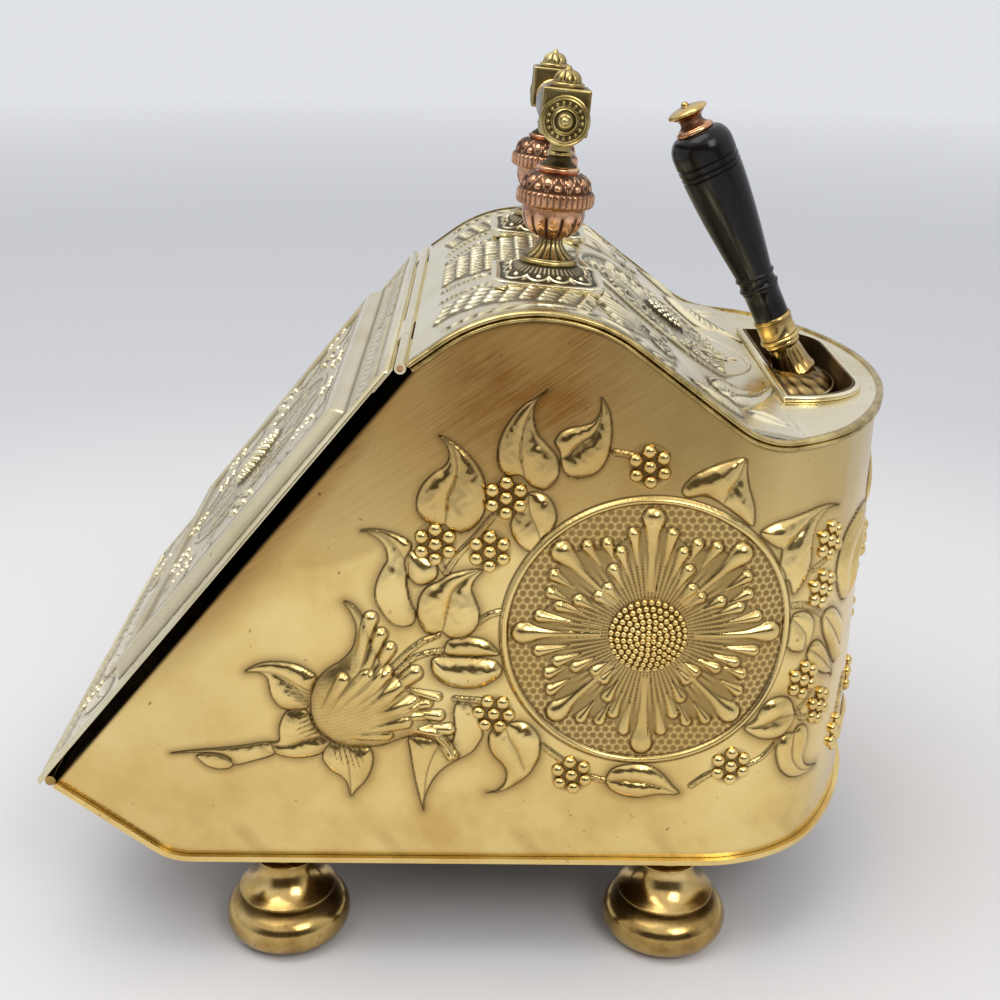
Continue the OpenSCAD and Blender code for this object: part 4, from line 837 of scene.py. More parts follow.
def pressMedallion(work):
    # The big round flower: rolled ring, honeycomb ground, eight clubs, stepped fingers, stippled rays
    middle, rim = medallion["middle"], medallion["radius"]
    picked = nearbyPoints(work, middle, middle, rim + 2)
    if not len(picked):
        return
    du, dv = work["u"][picked] - middle[0], work["v"][picked] - middle[1]
    r, angle = np.hypot(du, dv), np.arctan2(dv, du)
    hole = honeycomb(du, dv, medallion["cell"])
    ground = 0.6 * hole ** 3 - 0.5
    pit = 1 - hole ** 5
    dark = 0.38 * pit
    # the petals' own ground is smooth, with rays on it: fine flutes with punched dots, out from the dome
    ray = np.abs(np.cos(angle * 40))
    fade = 1 - np.clip((r - 36) / 9, 0, 1)
    dots = 0.5 + 0.5 * np.cos(r * 2 * math.pi / 1.6)
    petal = r < 54 + 4 * np.cos(8 * angle)
    ground = np.where(petal, 0.5 + fade * (0.6 * ray - 0.3), ground)
    dark = np.where(petal, 0.4 * (1 - fade) + fade * (1 - ray) ** 0.7 * (0.5 + 0.5 * dots), dark)
    flat = r < rim - 3.6
    height = np.where(flat, ground, work["height"][picked])
    tone = np.where(flat, dark, work["dark"][picked])
    # the ring is one roll with a thin step outside it
    for mid, half, rise in ((rim - 0.5, 0.6, 0.8), (rim - 2.1, 1.6, 2.0)):
        height = np.maximum(height, rise * np.sqrt(np.clip(1 - ((r - mid) / half) ** 2, 0, 1)))
    tone = np.where((r > rim - 3.6) & (r < rim), 0.4 * np.exp(-((r - rim + 0.9) / 0.25) ** 2), tone)
    tone = np.maximum(tone, 0.9 * np.exp(-((r - rim - 0.4) / 0.5) ** 2))
    tone = np.maximum(tone, 0.85 * np.exp(-((r - rim + 3.9) / 0.45) ** 2))
    work["height"][picked], work["dark"][picked] = height, tone
    tint = np.where(petal, 0.45, 0.15 + 0.6 * pit)
    work["brown"][picked] = np.where(flat, tint, np.where(r < rim, 0.05, work["brown"][picked]))
    for turn, reach, length in fingers:
        tip, root = spoke(middle, turn, reach - 3), spoke(middle, turn, reach - length * 1.1)
        pressFinger(work, tip, root, 3.3, 0.7, 3.0)
    for turn in eighths:
        tip, root = spoke(middle, turn, medallion["clubTip"]), spoke(middle, turn, medallion["clubRoot"])
        pressFinger(work, tip, root, 5.8, 1.5, 3.6, neck={"where": 0.22, "radius": 2.6})
    pressDome(work, picked, medallion, 0.9, 0.85)


# The flowers of the sides, traced as (along, up): along the wall from the crown back, up from the base.
# Each leaf is (outline from its tip, vein, height)
sideLeaves = [
    ([(4.8, 257), (-0.6, 252.6), (-5.6, 249.6), (-10.6, 244.2), (-15.3, 236.4), (-17.6, 228.7),
      (-17.8, 222), (-16.1, 217), (-12.2, 214.4), (-7.2, 214.8), (-4.6, 212.6), (-2.2, 210), (0.6, 208.4),
      (4.4, 207.6), (7.8, 209.8), (10.6, 214.2), (11.1, 219.8), (9.4, 225.3), (4.4, 230.9), (0.6, 235.3),
      (-1.1, 240.9), (-1.7, 245.3), (-0.8, 250), (2.0, 254.2)], [(4.8, 257), (0, 251.4), (-2.6, 247.6),
      (-5.6, 239.8), (-7, 228.7), (-6.4, 220.9), (-4.6, 212.6)], 2.9),
    ([(29.4, 253.3), (29.7, 249.8), (28.9, 245.3), (26.1, 241.4), (21.1, 239.4), (15.6, 238.4),
      (11.1, 235.9), (8.7, 232), (9.4, 229.4), (11, 226.6), (11.6, 223), (12.2, 219.6), (13.3, 217),
      (15.6, 214.8), (20, 213.9), (25.6, 214.8), (30, 217.6), (33.3, 223.1), (34.7, 228.7), (35, 237.6),
      (33.9, 245.3), (31.7, 250.3)], [(29.4, 253.3), (30, 246.4), (28.9, 240.9), (26.1, 235.9), (21.1, 232),
      (15.6, 226.3), (11.5, 223)], 2.7),
    ([(-45.3, 234), (-41.9, 229.8), (-40.4, 225.3), (-41, 221.4), (-43.6, 218.1), (-48.3, 214.8),
      (-52.8, 209.8), (-55.3, 204.2), (-55.8, 197.6), (-53.3, 192.6), (-48.9, 189.8), (-45, 189),
      (-42.4, 189.4), (-40, 187), (-34.4, 185.6), (-28.9, 188.1), (-24.4, 194.2), (-23, 202),
      (-23.6, 210.9), (-26.1, 217.6), (-31.1, 224.2), (-36.7, 229.2), (-41.1, 232.2)], [(-45.3, 234),
      (-39, 228.4), (-36.9, 220.9), (-37.4, 213.1), (-40.6, 204.2), (-41.7, 195.3), (-42.4, 189.2)], 3.0),
    ([(-1.1, 176), (-6.1, 178.7), (-10, 184.2), (-11.1, 190.9), (-8.3, 197.6), (-5, 203.5), (-2.6, 206.2),
      (2.2, 206.1), (7.2, 203.1), (10, 197.6), (10.6, 192), (8.3, 187), (4.5, 184), (2, 180)], [(-3.3, 206),
      (-2.2, 196.4), (1.5, 188), (3.2, 182)], 2.6),
    ([(-60, 176), (-61.7, 168), (-60, 162), (-55.5, 158), (-50, 158.8), (-46, 163), (-47, 169),
      (-52, 172.5)], None, 2.2),
    ([(-82.8, 186.1), (-75.6, 186.7), (-68.9, 185.3), (-63.3, 183.1), (-58.6, 179.6), (-59, 176),
      (-61.7, 170.9), (-60.9, 164), (-60.6, 156.4), (-58.9, 148.7), (-56.7, 143.7), (-57.4, 138),
      (-62.2, 135.6), (-67.8, 137), (-72.2, 142), (-75.6, 148.7), (-76.1, 155.3), (-74.4, 162),
      (-71.7, 167.6), (-70, 170.9), (-70.6, 176.4), (-73.3, 180.9), (-77.8, 184.2)], [(-82.8, 186.1),
      (-74, 184.6), (-67.6, 180.5), (-63.4, 174.5), (-61.5, 170)], 2.8),
    ([(-24, 166.5), (-32, 165.8), (-40, 163.7), (-45.6, 159.8), (-51.1, 157), (-54.4, 152), (-55.8, 145.3),
      (-55.3, 138.7), (-52.2, 133.1), (-48.3, 131.6), (-44, 133), (-40, 129.8), (-34.4, 129), (-29.4, 132),
      (-26.1, 137.6), (-25.6, 144.2), (-27.8, 150.9), (-29.4, 156), (-28, 161)], [(-24, 166.5), (-32, 162),
      (-38, 156), (-40.5, 148), (-42.3, 139), (-43.6, 132.8)], 2.9),
    ([(-15.6, 121), (-21.1, 119.8), (-30, 119.4), (-40, 120), (-42.6, 122.6), (-42.2, 125.4),
      (-40.6, 128.1), (-35.6, 129.8), (-29.4, 130.3), (-23.3, 128.9), (-18.9, 125.9)], None, 2.5),
    ([(-14, 113), (-15.6, 115.5), (-18.9, 117.8), (-27.8, 119), (-38, 119.2), (-47.8, 118.7), (-49, 113.1),
      (-46.7, 107.6), (-40, 103.1), (-31.1, 101.7), (-23.3, 103.1), (-17.8, 106.4), (-14.6, 109.6)], None,
      3.2),
    ([(-53.2, 30.6), (-54.7, 36.4), (-56.5, 44.5), (-58.3, 54.5), (-59.6, 64.5), (-60.2, 74), (-50, 73),
      (-43.2, 69), (-38.5, 72), (-37.4, 80), (-37.8, 88), (-36, 93.6), (-30, 93), (-26, 86), (-23.2, 76.4),
      (-25, 70.9), (-28.6, 65.5), (-34.1, 61.8), (-38.6, 59.1), (-43.2, 55.5), (-47.7, 50), (-51.2, 42.7),
      (-53, 36.4)], [(-53.2, 30.6), (-52.3, 45.5), (-51.2, 54), (-48.6, 62.5), (-45.4, 69.4)], 1.9),
    ([(-20.7, 41.6), (-15.9, 42.9), (-12.3, 46.4), (-10.9, 50.9), (-11.4, 55.5), (-13.6, 59.1),
      (-16.8, 62.7), (-19.4, 67.3), (-20.2, 71.8), (-19.7, 76.4), (-17, 79.6), (-12, 81.5), (-8.2, 83.2),
      (-3.2, 83.2), (1.4, 80.5), (5, 75.5), (6, 70), (5.5, 62.7), (3.2, 57.3), (0.5, 52.7), (-4.1, 48.2),
      (-9.5, 44.5), (-15, 42.2)], [(-11.8, 81), (-9.5, 73.6), (-6.4, 67.3), (-4.1, 61.8), (-1.9, 56.4)],
      2.7),
    ([(78, 42), (73.8, 47.5), (68.8, 53.8), (61.3, 58.6), (51.3, 59.2), (43, 56.3), (40, 49.8),
      (42.5, 44.6), (48.8, 41), (57.5, 39.6), (67.5, 41.6)], [(78, 42), (66, 47), (53, 49.6), (40, 49.8)],
      2.6),
    ([(98.3, 224.4), (90, 223), (81.3, 219.5), (73.8, 215), (69.5, 208.8), (72, 204.6), (80, 205.5),
      (88, 202), (96, 196), (104.4, 190), (104.4, 199.7), (101.4, 209), (99.5, 217)], [(98.3, 224.4),
      (95, 214), (91, 206), (89.5, 202)], 2.9),
    ([(160, 191.2), (151, 194), (143.5, 194.8), (134, 193.6), (123.5, 191.9), (115.8, 190.5),
      (108.5, 186.5), (112.7, 181.2), (118, 177.6), (121, 176), (120.5, 168), (122, 162), (127, 158),
      (130, 151), (134.2, 153.5), (138.8, 159.7), (140.4, 167.4), (139.6, 175), (140.1, 182.8),
      (142.7, 188.2), (147, 191.3), (153, 192.4)], [(160, 191.2), (148, 193), (138, 190.5), (130, 184),
      (124, 178.5), (121, 175.5)], 2.7),
    ([(129, 124), (130.4, 136.6), (134.2, 139.7), (140.4, 138.9), (145.8, 134.3), (147.3, 128.9),
      (145.8, 121.2), (140.4, 116.9), (134.2, 118.2), (130.5, 121)], [(131, 137), (138, 130), (141.6, 124),
      (141, 117)], 2.4),
    ([(184.4, 104), (183.8, 112), (183.4, 118), (175.8, 125.8), (166.5, 132.8), (158.8, 134.3),
      (154.6, 131), (157.3, 121.2), (163.5, 112), (170, 103), (177.3, 96.6), (182, 98)], [(184.2, 104),
      (178, 109), (168, 120), (157, 131)], 2.7),
    ([(176, 90), (168.8, 101.2), (163.5, 108.9), (157.3, 115.8), (151.2, 119.7), (146.5, 118.2),
      (144.2, 113.5), (146.5, 108.9), (152.7, 102.8), (162, 96.6), (169.6, 93.5)], [(176, 90), (164, 101),
      (154, 110), (146, 116)], 2.4),
    ([(108.8, 79.7), (114.2, 83.5), (118, 90.5), (123.5, 94), (131.2, 93.5), (136.5, 88.9), (139, 83),
      (138.8, 79), (136.5, 73.5), (131.2, 70.2), (123.5, 70.5), (115.8, 73.5)], [(108.8, 79.7),
      (120.4, 80.2), (130, 82), (139, 81)], 2.4),
    ([(165.8, 40.2), (156, 44), (151.2, 48.2), (149.6, 53.5), (151.2, 60), (151.2, 66), (148.8, 71.2),
      (144.2, 72.8), (140.4, 70), (135.8, 70.8), (131.2, 69), (128.8, 64.3), (129.6, 58.2), (132.7, 50.5),
      (138.8, 44.3), (146.5, 41.2), (156, 40.3)], [(165.8, 40.2), (150, 44), (142, 52), (139.8, 60),
      (140.4, 70)], 2.6),
    ([(226, 170), (212, 176), (198.8, 178), (183.5, 175.5), (174, 172), (168, 165.8), (165, 156.6),
      (166, 149), (172, 139), (180, 132), (191, 130.5), (197, 137), (200, 147), (205, 157), (214, 165)],
      [(226, 170), (206, 170), (192, 162), (184, 150), (186, 134)], 2.8),
    ([(250, 196), (243, 193), (234, 186), (230, 177), (232, 168), (238, 163), (245, 166), (250, 174),
      (252, 184)], [(250, 196), (243, 184), (238, 172), (237, 164)], 2.6),
    ([(272, 118), (268, 128), (260, 135), (250, 137), (244, 132), (243, 124), (249, 118), (258, 115),
      (266, 116)], [(272, 118), (260, 124), (244, 130)], 2.5),
    ([(215, 30), (219, 40), (227, 47), (238, 48), (247, 43), (250, 35), (244, 29), (232, 27), (222, 28)],
      [(215, 30), (230, 36), (249, 38)], 2.4),
]

# The trumpet flower: sepals, stem and cut end, then the belly with its fingers and curled petals
trumpet = {
    "sepals": [
        ([(-141, 110), (-136.4, 113.3), (-130.7, 115.3), (-122.1, 115.4), (-115, 113.9), (-109.3, 110.7),
          (-105.7, 107), (-108, 100.7), (-108.8, 93), (-112, 89.6), (-119.3, 88.4), (-125, 90.7),
          (-128.6, 96.4), (-129.6, 102.1), (-130.7, 107.1), (-135, 109.7)], [(-141, 110), (-127, 109.5),
          (-118, 103), (-110, 92)], 2.3),
        ([(-134, 69.6), (-126.4, 70.7), (-125.7, 76), (-125, 80.7), (-122.1, 87.1), (-117, 89), (-111, 88),
          (-108, 80), (-104.3, 75), (-100.4, 71), (-101, 66.4), (-106.4, 63.3), (-115, 61.4),
          (-123.6, 62.1), (-130.7, 65)], [(-134, 69), (-122, 68.5), (-113, 72), (-105, 74)], 2.2),
        ([(-90.4, 39), (-87.9, 42.1), (-82.9, 47.9), (-79.6, 55), (-78.6, 62.1), (-80.7, 67.5), (-88, 68),
          (-95, 69.4), (-100, 70), (-104.3, 62.1), (-100.7, 55), (-95, 50.7), (-92.1, 46.4)], [(-90.4, 39),
          (-90.6, 50), (-91.5, 60), (-94, 69)], 2.2),
        ([(-181, 63.1), (-170.7, 64.9), (-156.4, 66.4), (-145, 67.9), (-132, 70), (-129, 66.5),
          (-129.3, 62.9), (-139.3, 59.3), (-149.3, 56.7), (-151, 60.5), (-157, 63.4), (-168, 63.8)], None,
          1.3),
        ([(-168, 61.6), (-163, 63), (-157, 62.4), (-152, 60.2), (-149.6, 57.2), (-152.1, 54.7),
          (-157.9, 54.3), (-163.6, 56.4)], None, 1.1)],
    "belly": [(-91.4, 148.6), (-87, 147), (-83, 142), (-81, 136), (-79, 128), (-75, 118), (-69, 110),
              (-62, 103), (-57, 95), (-53, 87), (-48, 80), (-42, 75), (-38, 69), (-37, 62), (-43.2, 69.1),
              (-51.4, 73.6), (-60, 74.3), (-67.9, 71.4), (-76.4, 68.6), (-86.4, 67.9), (-95, 69.3),
              (-102.1, 73.6), (-107.1, 79.3), (-109.3, 86.4), (-109.3, 90.7), (-108.6, 97.9),
              (-105.7, 105.7), (-100.7, 111.4), (-93.6, 116.4), (-88.6, 122.1), (-86.4, 127.9),
              (-85.7, 135), (-87.9, 142.1)],
    "fingers": [((-78.6, 139.6), (-84, 121), 2.6), ((-73.9, 131), (-81, 114), 2.5), ((-69.6, 123.4),
                (-79, 107), 2.4), ((-92.9, 107.6), (-99.5, 95), 2.2), ((-81, 110.4), (-93, 97), 2.4),
                ((-71.4, 110.6), (-84, 99), 2.6), ((-57.4, 110), (-74, 96), 2.9), ((-58, 95), (-70, 90),
                2.4), ((-51, 93.4), (-60, 90.4), 1.9), ((-46, 97), (-57, 99.6), 1.6), ((-45.4, 86.4),
                (-57, 87), 2.2), ((-40.4, 78.6), (-52, 78.4), 2.3), ((-62, 84.2), (-74, 81), 2.3),
                ((-71, 76.4), (-83, 76), 2.0), ((-38.4, 64.4), (-44.5, 73.5), 2.2)]}

# Fans of short dark strokes where the sepals leave the cup: (root, tip)
sepalStrokes = [((-108, 99), (-121.5, 108)), ((-108.5, 97.3), (-122.5, 105)), ((-109, 95.6), (-122, 101.8)),
                ((-109.3, 94), (-120, 98.8)), ((-109.5, 92.5), (-117.5, 96)), ((-109.6, 91), (-115, 93.6)),
                ((-109, 87), (-114, 85.8)), ((-108.4, 84.5), (-115.5, 82.6)), ((-107.4, 82), (-116.4, 79.4)),
                ((-106, 79.6), (-115.6, 76.4)), ((-104.4, 77.4), (-113.4, 74)),
                ((-102.6, 75.2), (-110, 72.2)),
                ((-98.4, 69.6), (-97, 62)), ((-96, 69.3), (-94, 58.8)), ((-93.4, 69), (-91, 56.6)),
                ((-91, 68.6), (-88, 56.6)), ((-88.6, 68.3), (-85.4, 58)), ((-86.6, 68), (-83.4, 61))]

sideStems = [
    [(-70, 111), (-62, 120), (-54, 127), (-46, 131)], [(-66, 111), (-58, 118), (-50, 121.4),
    (-42.4, 122.4)], [(-26, 138.4), (-21, 142), (-15.4, 144)], [(-41.5, 165), (-36, 174), (-28, 183),
    (-19, 195)], [(-45.4, 172), (-44, 168), (-42, 164.6)], [(-37.3, 95.9), (-31, 95.4), (-25, 95)],
    [(7, 69.6), (12, 65.5), (17, 61.4)], [(32.6, 51.6), (37, 50), (40.4, 49.4)], [(37, 226.6), (41, 226),
    (46, 225)], [(129, 144.4), (138, 143), (147, 138), (155, 132.4)], [(142.7, 161.2), (152, 164),
    (161, 166.4), (171, 166)], [(139.6, 82), (146, 85), (153, 90)], [(113.5, 58), (121, 61), (130, 69)],
    [(141, 82), (145, 77), (150, 76)], [(96, 56), (90, 52), (84, 47)], [(171, 150), (164, 149), (159, 148)],
    [(196, 55), (200, 66), (206, 76)], [(238, 163), (244, 150), (250, 138)], [(202, 47), (209, 42),
    (216, 38)]]

# Clusters of seven berries: (along, up, turn in degrees)
sideClusters = [(-13.5, 203.6, 90), (-47, 179.6, 90), (-20.9, 176, 90), (-17.8, 88, -5), (22.3, 53, 38),
                (53.6, 220, 95), (103.3, 58.3, 90), (154, 174, 92), (151.2, 148.5, 95), (143, 99.8, 88),
                (160, 78.6, 92), (194, 46.5, 80), (226, 150, 90), (262, 158, 80), (262, 95, 90),
                (236, 62, 85)]
berry = {"radius": 3.6, "rise": 3.2, "lidRadius": 2.6, "lidRise": 2.2, "ring": 7.6, "foot": -0.12,
         "mound": 11.5, "moundHigh": 0.5}


def clusterSpots(along, up, turn):
    # six berries round one
    ring = [math.radians(turn + 60 * k) for k in range(6)]
    return [(along, up)] + [spoke((along, up), angle, berry["ring"]) for angle in ring]


def chaseSide(work):
    # the polish stops at a wavy line: brown above it and along the mouth, and a little at the edges. The brown
    # above the line is tarnish and also a painted dark reflection
    u, v = work["u"], work["v"]
    line = (180 + 6 * np.sin(u / 31 + 1.1) + 4 * np.sin(u / 13) - 17 * np.exp(-((u + 145) / 40) ** 2)
            - 12 * np.clip((u - 60) / 60, 0, 1))
    mouth = (mouthLine(u) - v) * 0.64
    above = np.clip((v - line) / 5 + 0.5, 0, 1) * (0.5 + 0.5 * np.clip((v - line) / 60, 0, 1))
    right = np.clip((u - 15) / 50, 0, 1)
    nearer = 1 - 0.6 * np.clip((u - 90) / 30, 0, 1)
    # the upper wall is darkened towards the back corner: painted shade
    shade = 0.36 * above * right * nearer
    above *= (1 - 0.3 * np.clip((-u - 30) / 50, 0, 1)) * (1 - 0.5 * right) * nearer
    smudge = np.clip(np.sin(u / 11.3 + 2 * np.sin(v / 9)) * np.sin(u / 5.7 + v / 7.9) - 0.3, 0, 1)
    smudge *= np.exp(-((v - 12) / 11) ** 2)
    above = np.maximum(above, 0.4 * smudge + 0.16 * np.clip((-u - 110) / 60, 0, 1))
    work["brown"][:] = np.maximum(above, 0.9 * np.exp(-(mouth / 15) ** 2) * np.clip((v - 70) / 90, 0, 1))
    # a dark band along the top edge, under the bead and the lid, and a fainter one above the base seam: painted
    # shadow, with grime
    work["dark"][:] = np.maximum(0.7 * np.exp(-((skinHigh(u) - v) / 1.4) ** 2),
                                 0.35 * np.exp(-((v - skinLow(u)) / 2.4) ** 2))
    darken(work, everywhere, shade)
    for along, up, _ in sideClusters:
        pressCluster(work, (along, up))
    for line in sideStems:
        pressStem(work, line)
    for outline, vein, height in sideLeaves + trumpet["sepals"]:
        pressLeaf(work, outline, vein, height)
    for root, tip in sepalStrokes:
        inkStroke(work, root, tip)
    pressTrumpet(work)
    pressMedallion(work)
    # the cup's petals lie on its swell: what stands over the relief's plate is pressed down
    plate = 4.8
    tall = work["height"] > plate
    work["height"][:] = np.where(tall, plate + 0.52 * (work["height"] - plate), work["height"])


def pressTrumpet(work):
    pressLeaf(work, trumpet["belly"], None, 4.2, width=17)
    edge = smoothLine(trumpet["belly"], True)
    picked = nearbyPoints(work, edge.min(axis=0), edge.max(axis=0), 0)
    # stipple on the belly, in rows
    u, v = work["u"][picked], work["v"][picked]
    gap, _ = lineDistance(u, v, edge, True)
    grain = (0.5 + 0.5 * np.cos(u * 3.4 + v * 1.6)) * (0.5 + 0.5 * np.cos(v * 3.1 - u * 1.2))
    tone = 0.42 * grain * np.clip(gap / 3, 0, 1) + 0.35 * np.exp(-(gap / 2.2) ** 2)
    darken(work, picked, insideLine(u, v, edge) * tone)
    for tip, root, radius in trumpet["fingers"]:
        root = (1.6 * root[0] - 0.6 * tip[0], 1.6 * root[1] - 0.6 * tip[1])
        pressFinger(work, tip, root, radius * 1.5, radius * 0.75, 3.0, over=True)


# Walls' outer skins: the chased sheet over the plain inner one

# The plan of a wall: straight, round the corner, then a shallow bow. The mouth slants up from the lip
wall = {"side": 143, "cornerX": 63, "cornerY": 90.5, "cornerR": 80, "cornerLong": 78.798, "bowR": 193.947,
        "bowY": -4.447, "lipU": -241.5, "lipV": 44, "mouthAngle": 50.091, "bendU": -174.5, "bendV": 30,
        "bendR": 26.8, "apronU": -190.9, "apronSlope": 0.7757, "backing": 0.25, "face": 0.7}
wall["bowU"] = wall["cornerY"] + wall["cornerLong"]


def onWall(u, out):
    # Where u, along the right wall from the crown back, lies in plan
    turn = np.clip(u - wall["cornerY"], 0, wall["cornerLong"]) / wall["cornerR"]
    x = wall["cornerX"] + (wall["cornerR"] + out) * np.cos(turn)
    y = wall["cornerY"] + (wall["cornerR"] + out) * np.sin(turn)
    bow = wall["cornerLong"] / wall["cornerR"] + (u - wall["cornerY"] - wall["cornerLong"]) / wall["bowR"]
    onBow, radius = u > wall["bowU"], wall["bowR"] + out
    x = np.where(u < wall["cornerY"], wall["side"] + out, np.where(onBow, radius * np.cos(bow), x))
    y = np.where(u < wall["cornerY"], u, np.where(onBow, wall["bowY"] + radius * np.sin(bow), y))
    return x, y


def mouthLine(u):
    return wall["lipV"] + (u - wall["lipU"]) * math.tan(math.radians(wall["mouthAngle"]))


# The curved top from the side: a straight front, the crown's arc, a straight back, the tail's arc and a
# flat end. front, back and tail are (depth, height)
curve = {"front": (-44.67, 278.49), "frontSlope": 36, "crownUp": 217, "crownR": 76, "back": (45.755, 277.68),
         "backSlope": 37.0155, "tailStart": 95.91, "tail": (122.4, 275), "tailR": 44, "endUp": 231.0}


def topHeight(y):
    crown = curve["crownUp"] + np.sqrt(np.clip(curve["crownR"] ** 2 - y * y, 0, None))
    tail = curve["tail"][1] - np.sqrt(np.clip(curve["tailR"] ** 2 - (curve["tail"][0] - y) ** 2, 0, None))
    front = curve["front"][1] + (y - curve["front"][0]) * math.tan(math.radians(curve["frontSlope"]))
    back = curve["back"][1] - (y - curve["back"][0]) * math.tan(math.radians(curve["backSlope"]))
    starts = [y < curve["front"][0], y < curve["back"][0], y < curve["tailStart"], y < curve["tail"][0]]
    return np.select(starts, [front, crown, back, tail], curve["endUp"])


def skinLow(u):
    # Just above the folded seam, along the flat bottom, the bend and the apron
    bend = wall["bendV"] - np.sqrt(np.clip(wall["bendR"] ** 2 - (u - wall["bendU"]) ** 2, 0, None))
    apron = wall["lipV"] - (u - wall["lipU"]) * wall["apronSlope"] + 4.05
    return np.where(u > wall["bendU"], 3.2, np.where(u > wall["apronU"], bend, apron))


def skinHigh(u):
    _, y = onWall(u, 0.0)
    return np.minimum(mouthLine(u) - 0.5, topHeight(y) - 4.35)


def gridSkin(name, body, columns, rows, place, chase, material, nodes=(), flip=False):
    # A closed sheet: a fine grid on its face, and long strips behind it. place["flat"] lays the grid out
    # flat, and place["bend"] gives the face's points from their heights, and the back's without them
    bm = bmesh.new()
    bmesh.ops.create_grid(bm, x_segments=columns, y_segments=rows, size=0.5)
    ends = []
    for level in (-0.5, 0.5):
        rim = [e for e in bm.edges if all(abs(v.co.y - level) < 1e-5 for v in e.verts)]
        made = bmesh.ops.extrude_edge_only(bm, edges=rim)["geom"]
        for vert in made:
            if isinstance(vert, bmesh.types.BMVert):
                vert.co.z = -1
        edges = [e for e in made if isinstance(e, bmesh.types.BMEdge)]
        ends += [e for e in edges if all(v.co.z < -0.5 for v in e.verts)]
    bmesh.ops.bridge_loops(bm, edges=ends)
    bmesh.ops.holes_fill(bm, edges=[e for e in bm.edges if e.is_boundary], sides=0)
    if flip:
        bmesh.ops.reverse_faces(bm, faces=bm.faces)
    mesh = bpy.data.meshes.new(name)
    bm.to_mesh(mesh)
    bm.free()
    flat = np.empty(len(mesh.vertices) * 3, dtype=np.float32)
    mesh.vertices.foreach_get("co", flat)
    flat = flat.reshape(-1, 3).astype(float)
    across, up, behind = flat[:, 0] + 0.5, flat[:, 1] + 0.5, flat[:, 2] < -0.5
    u, v = place["flat"](across, up)
    work = {"u": u, "v": v, "height": np.zeros(len(u)), "dark": np.zeros(len(u)), "brown": np.zeros(len(u))}
    chase(work)
    points = place["bend"](work, behind)
    mesh.vertices.foreach_set("co", (points * mm).astype(np.float32).ravel())
    for layerName, values in (("patinaAndPaintedShade", work["dark"]), ("brown", work["brown"])):
        layer = mesh.attributes.new(layerName, "FLOAT", "POINT")
        layer.data.foreach_set("value", np.clip(np.where(behind, 0, values), 0, 1).astype(np.float32))
    mesh.update()
    placePiece(name, mesh, body, material, nodes, 60)


def wallPlace(start, end, side):
    def flat(across, up):
        u = start + (end - start) * across
        low = skinLow(u)
        return u, low + (skinHigh(u) - low) * up

    def bend(work, behind):
        out = np.where(behind, wall["backing"], wall["face"] + work["height"])
        x, y = onWall(work["u"], out)
        return np.stack([side * x, y + spot["middle"][1], work["v"] + spot["middle"][2]], axis=1)
    return {"flat": flat, "bend": bend}


# each strip: where it starts and ends along the wall, columns and rows
skinStrips = {"front": (-239.2, -186, 34, 50), "flower": (-186, -60, 208, 340), "leaf": (-60, 60, 200, 470),
              "corner": (60, 172, 180, 370), "back": (172, 282.8, 130, 260)}
for (side, hand), fineness in zip(hands, (1.0, 0.8)):
    for part, (start, end, columns, rows) in skinStrips.items():
        gridSkin("%s_%s_skin" % (hand, part), "body", int(columns * fineness), int(rows * fineness),
                 wallPlace(start, end, side), chaseSide, sheetBrass,
                 (hand + "_wall_relief",) if part == "leaf" else (), flip=(side < 0))
    bm = bmesh.new()
    for cluster in sideClusters:
        for u, v in clusterSpots(*cluster):
            x, y = onWall(np.array([u]), wall["face"] + 0.2)
            x2, y2 = onWall(np.array([u]), 10.0)
            out = Vector((x2[0] - x[0], y2[0] - y[0], 0)).normalized()
            place = Matrix.Translation((x[0], y[0], v)) @ out.to_track_quat("Z", "Y").to_matrix().to_4x4()
            addBead(bm, place, berry["radius"], berry["rise"])
    # the flower's heart: beads in rings on the dome
    for r, angle in beadRings(medallion):
        rise = medallion["domeHeight"] * math.sqrt(max(1 - (r / medallion["dome"]) ** 2, 0)) ** 0.9
        out = wall["side"] + (rise + wall["face"]) + 0.1
        place = Matrix.Translation((out, *spoke(medallion["middle"], angle, r)))
        bmesh.ops.create_uvsphere(bm, u_segments=8, v_segments=5, radius=medallion["bead"], matrix=place)
    if side < 0:
        bmesh.ops.scale(bm, vec=(-1, 1, 1), verts=bm.verts)
    bmesh.ops.translate(bm, vec=spot["middle"], verts=bm.verts)
    finishPiece(bm, hand + "_berries", "body", sheetBrass, crease=180)
print("walls: chased skins and berries on both sides")


# Curved top: a chased skin from the hinge back to the pocket

top = {"front": -59.2, "back": 128.4, "columns": 272, "rows": 236, "face": 0.35}
topTable = {"y": np.linspace(-62, 190, 2521)}
topTable["z"] = topHeight(topTable["y"])
stepY, stepZ = np.gradient(topTable["y"]), np.gradient(topTable["z"])
topTable["s"] = np.cumsum(np.hypot(stepY, stepZ))
topTable["s"] -= np.interp(0, topTable["y"], topTable["s"])
topTable["ny"], topTable["nz"] = -stepZ / np.hypot(stepY, stepZ), stepY / np.hypot(stepY, stepZ)


def topSide(y):
    # Half the width of the top at a depth
    turn = np.clip((y - wall["cornerY"]) / wall["cornerR"], 0, 1)
    return wall["cornerX"] + wall["cornerR"] * np.sqrt(1 - turn * turn)


def topFlat(across, up):
    start, end = np.interp([top["front"], top["back"]], topTable["y"], topTable["s"])
    s = start + (end - start) * up
    return (2 * across - 1) * (topSide(np.interp(s, topTable["s"], topTable["y"])) - 0.4), s


def topBend(work, behind):
    y, z, ny, nz = (np.interp(work["v"], topTable["s"], topTable[key]) for key in ("y", "z", "ny", "nz"))
    out = np.where(behind, 0.04, top["face"] + work["height"])
    return np.stack([work["u"], y + out * ny + spot["middle"][1], z + out * nz + spot["middle"][2]], axis=1)


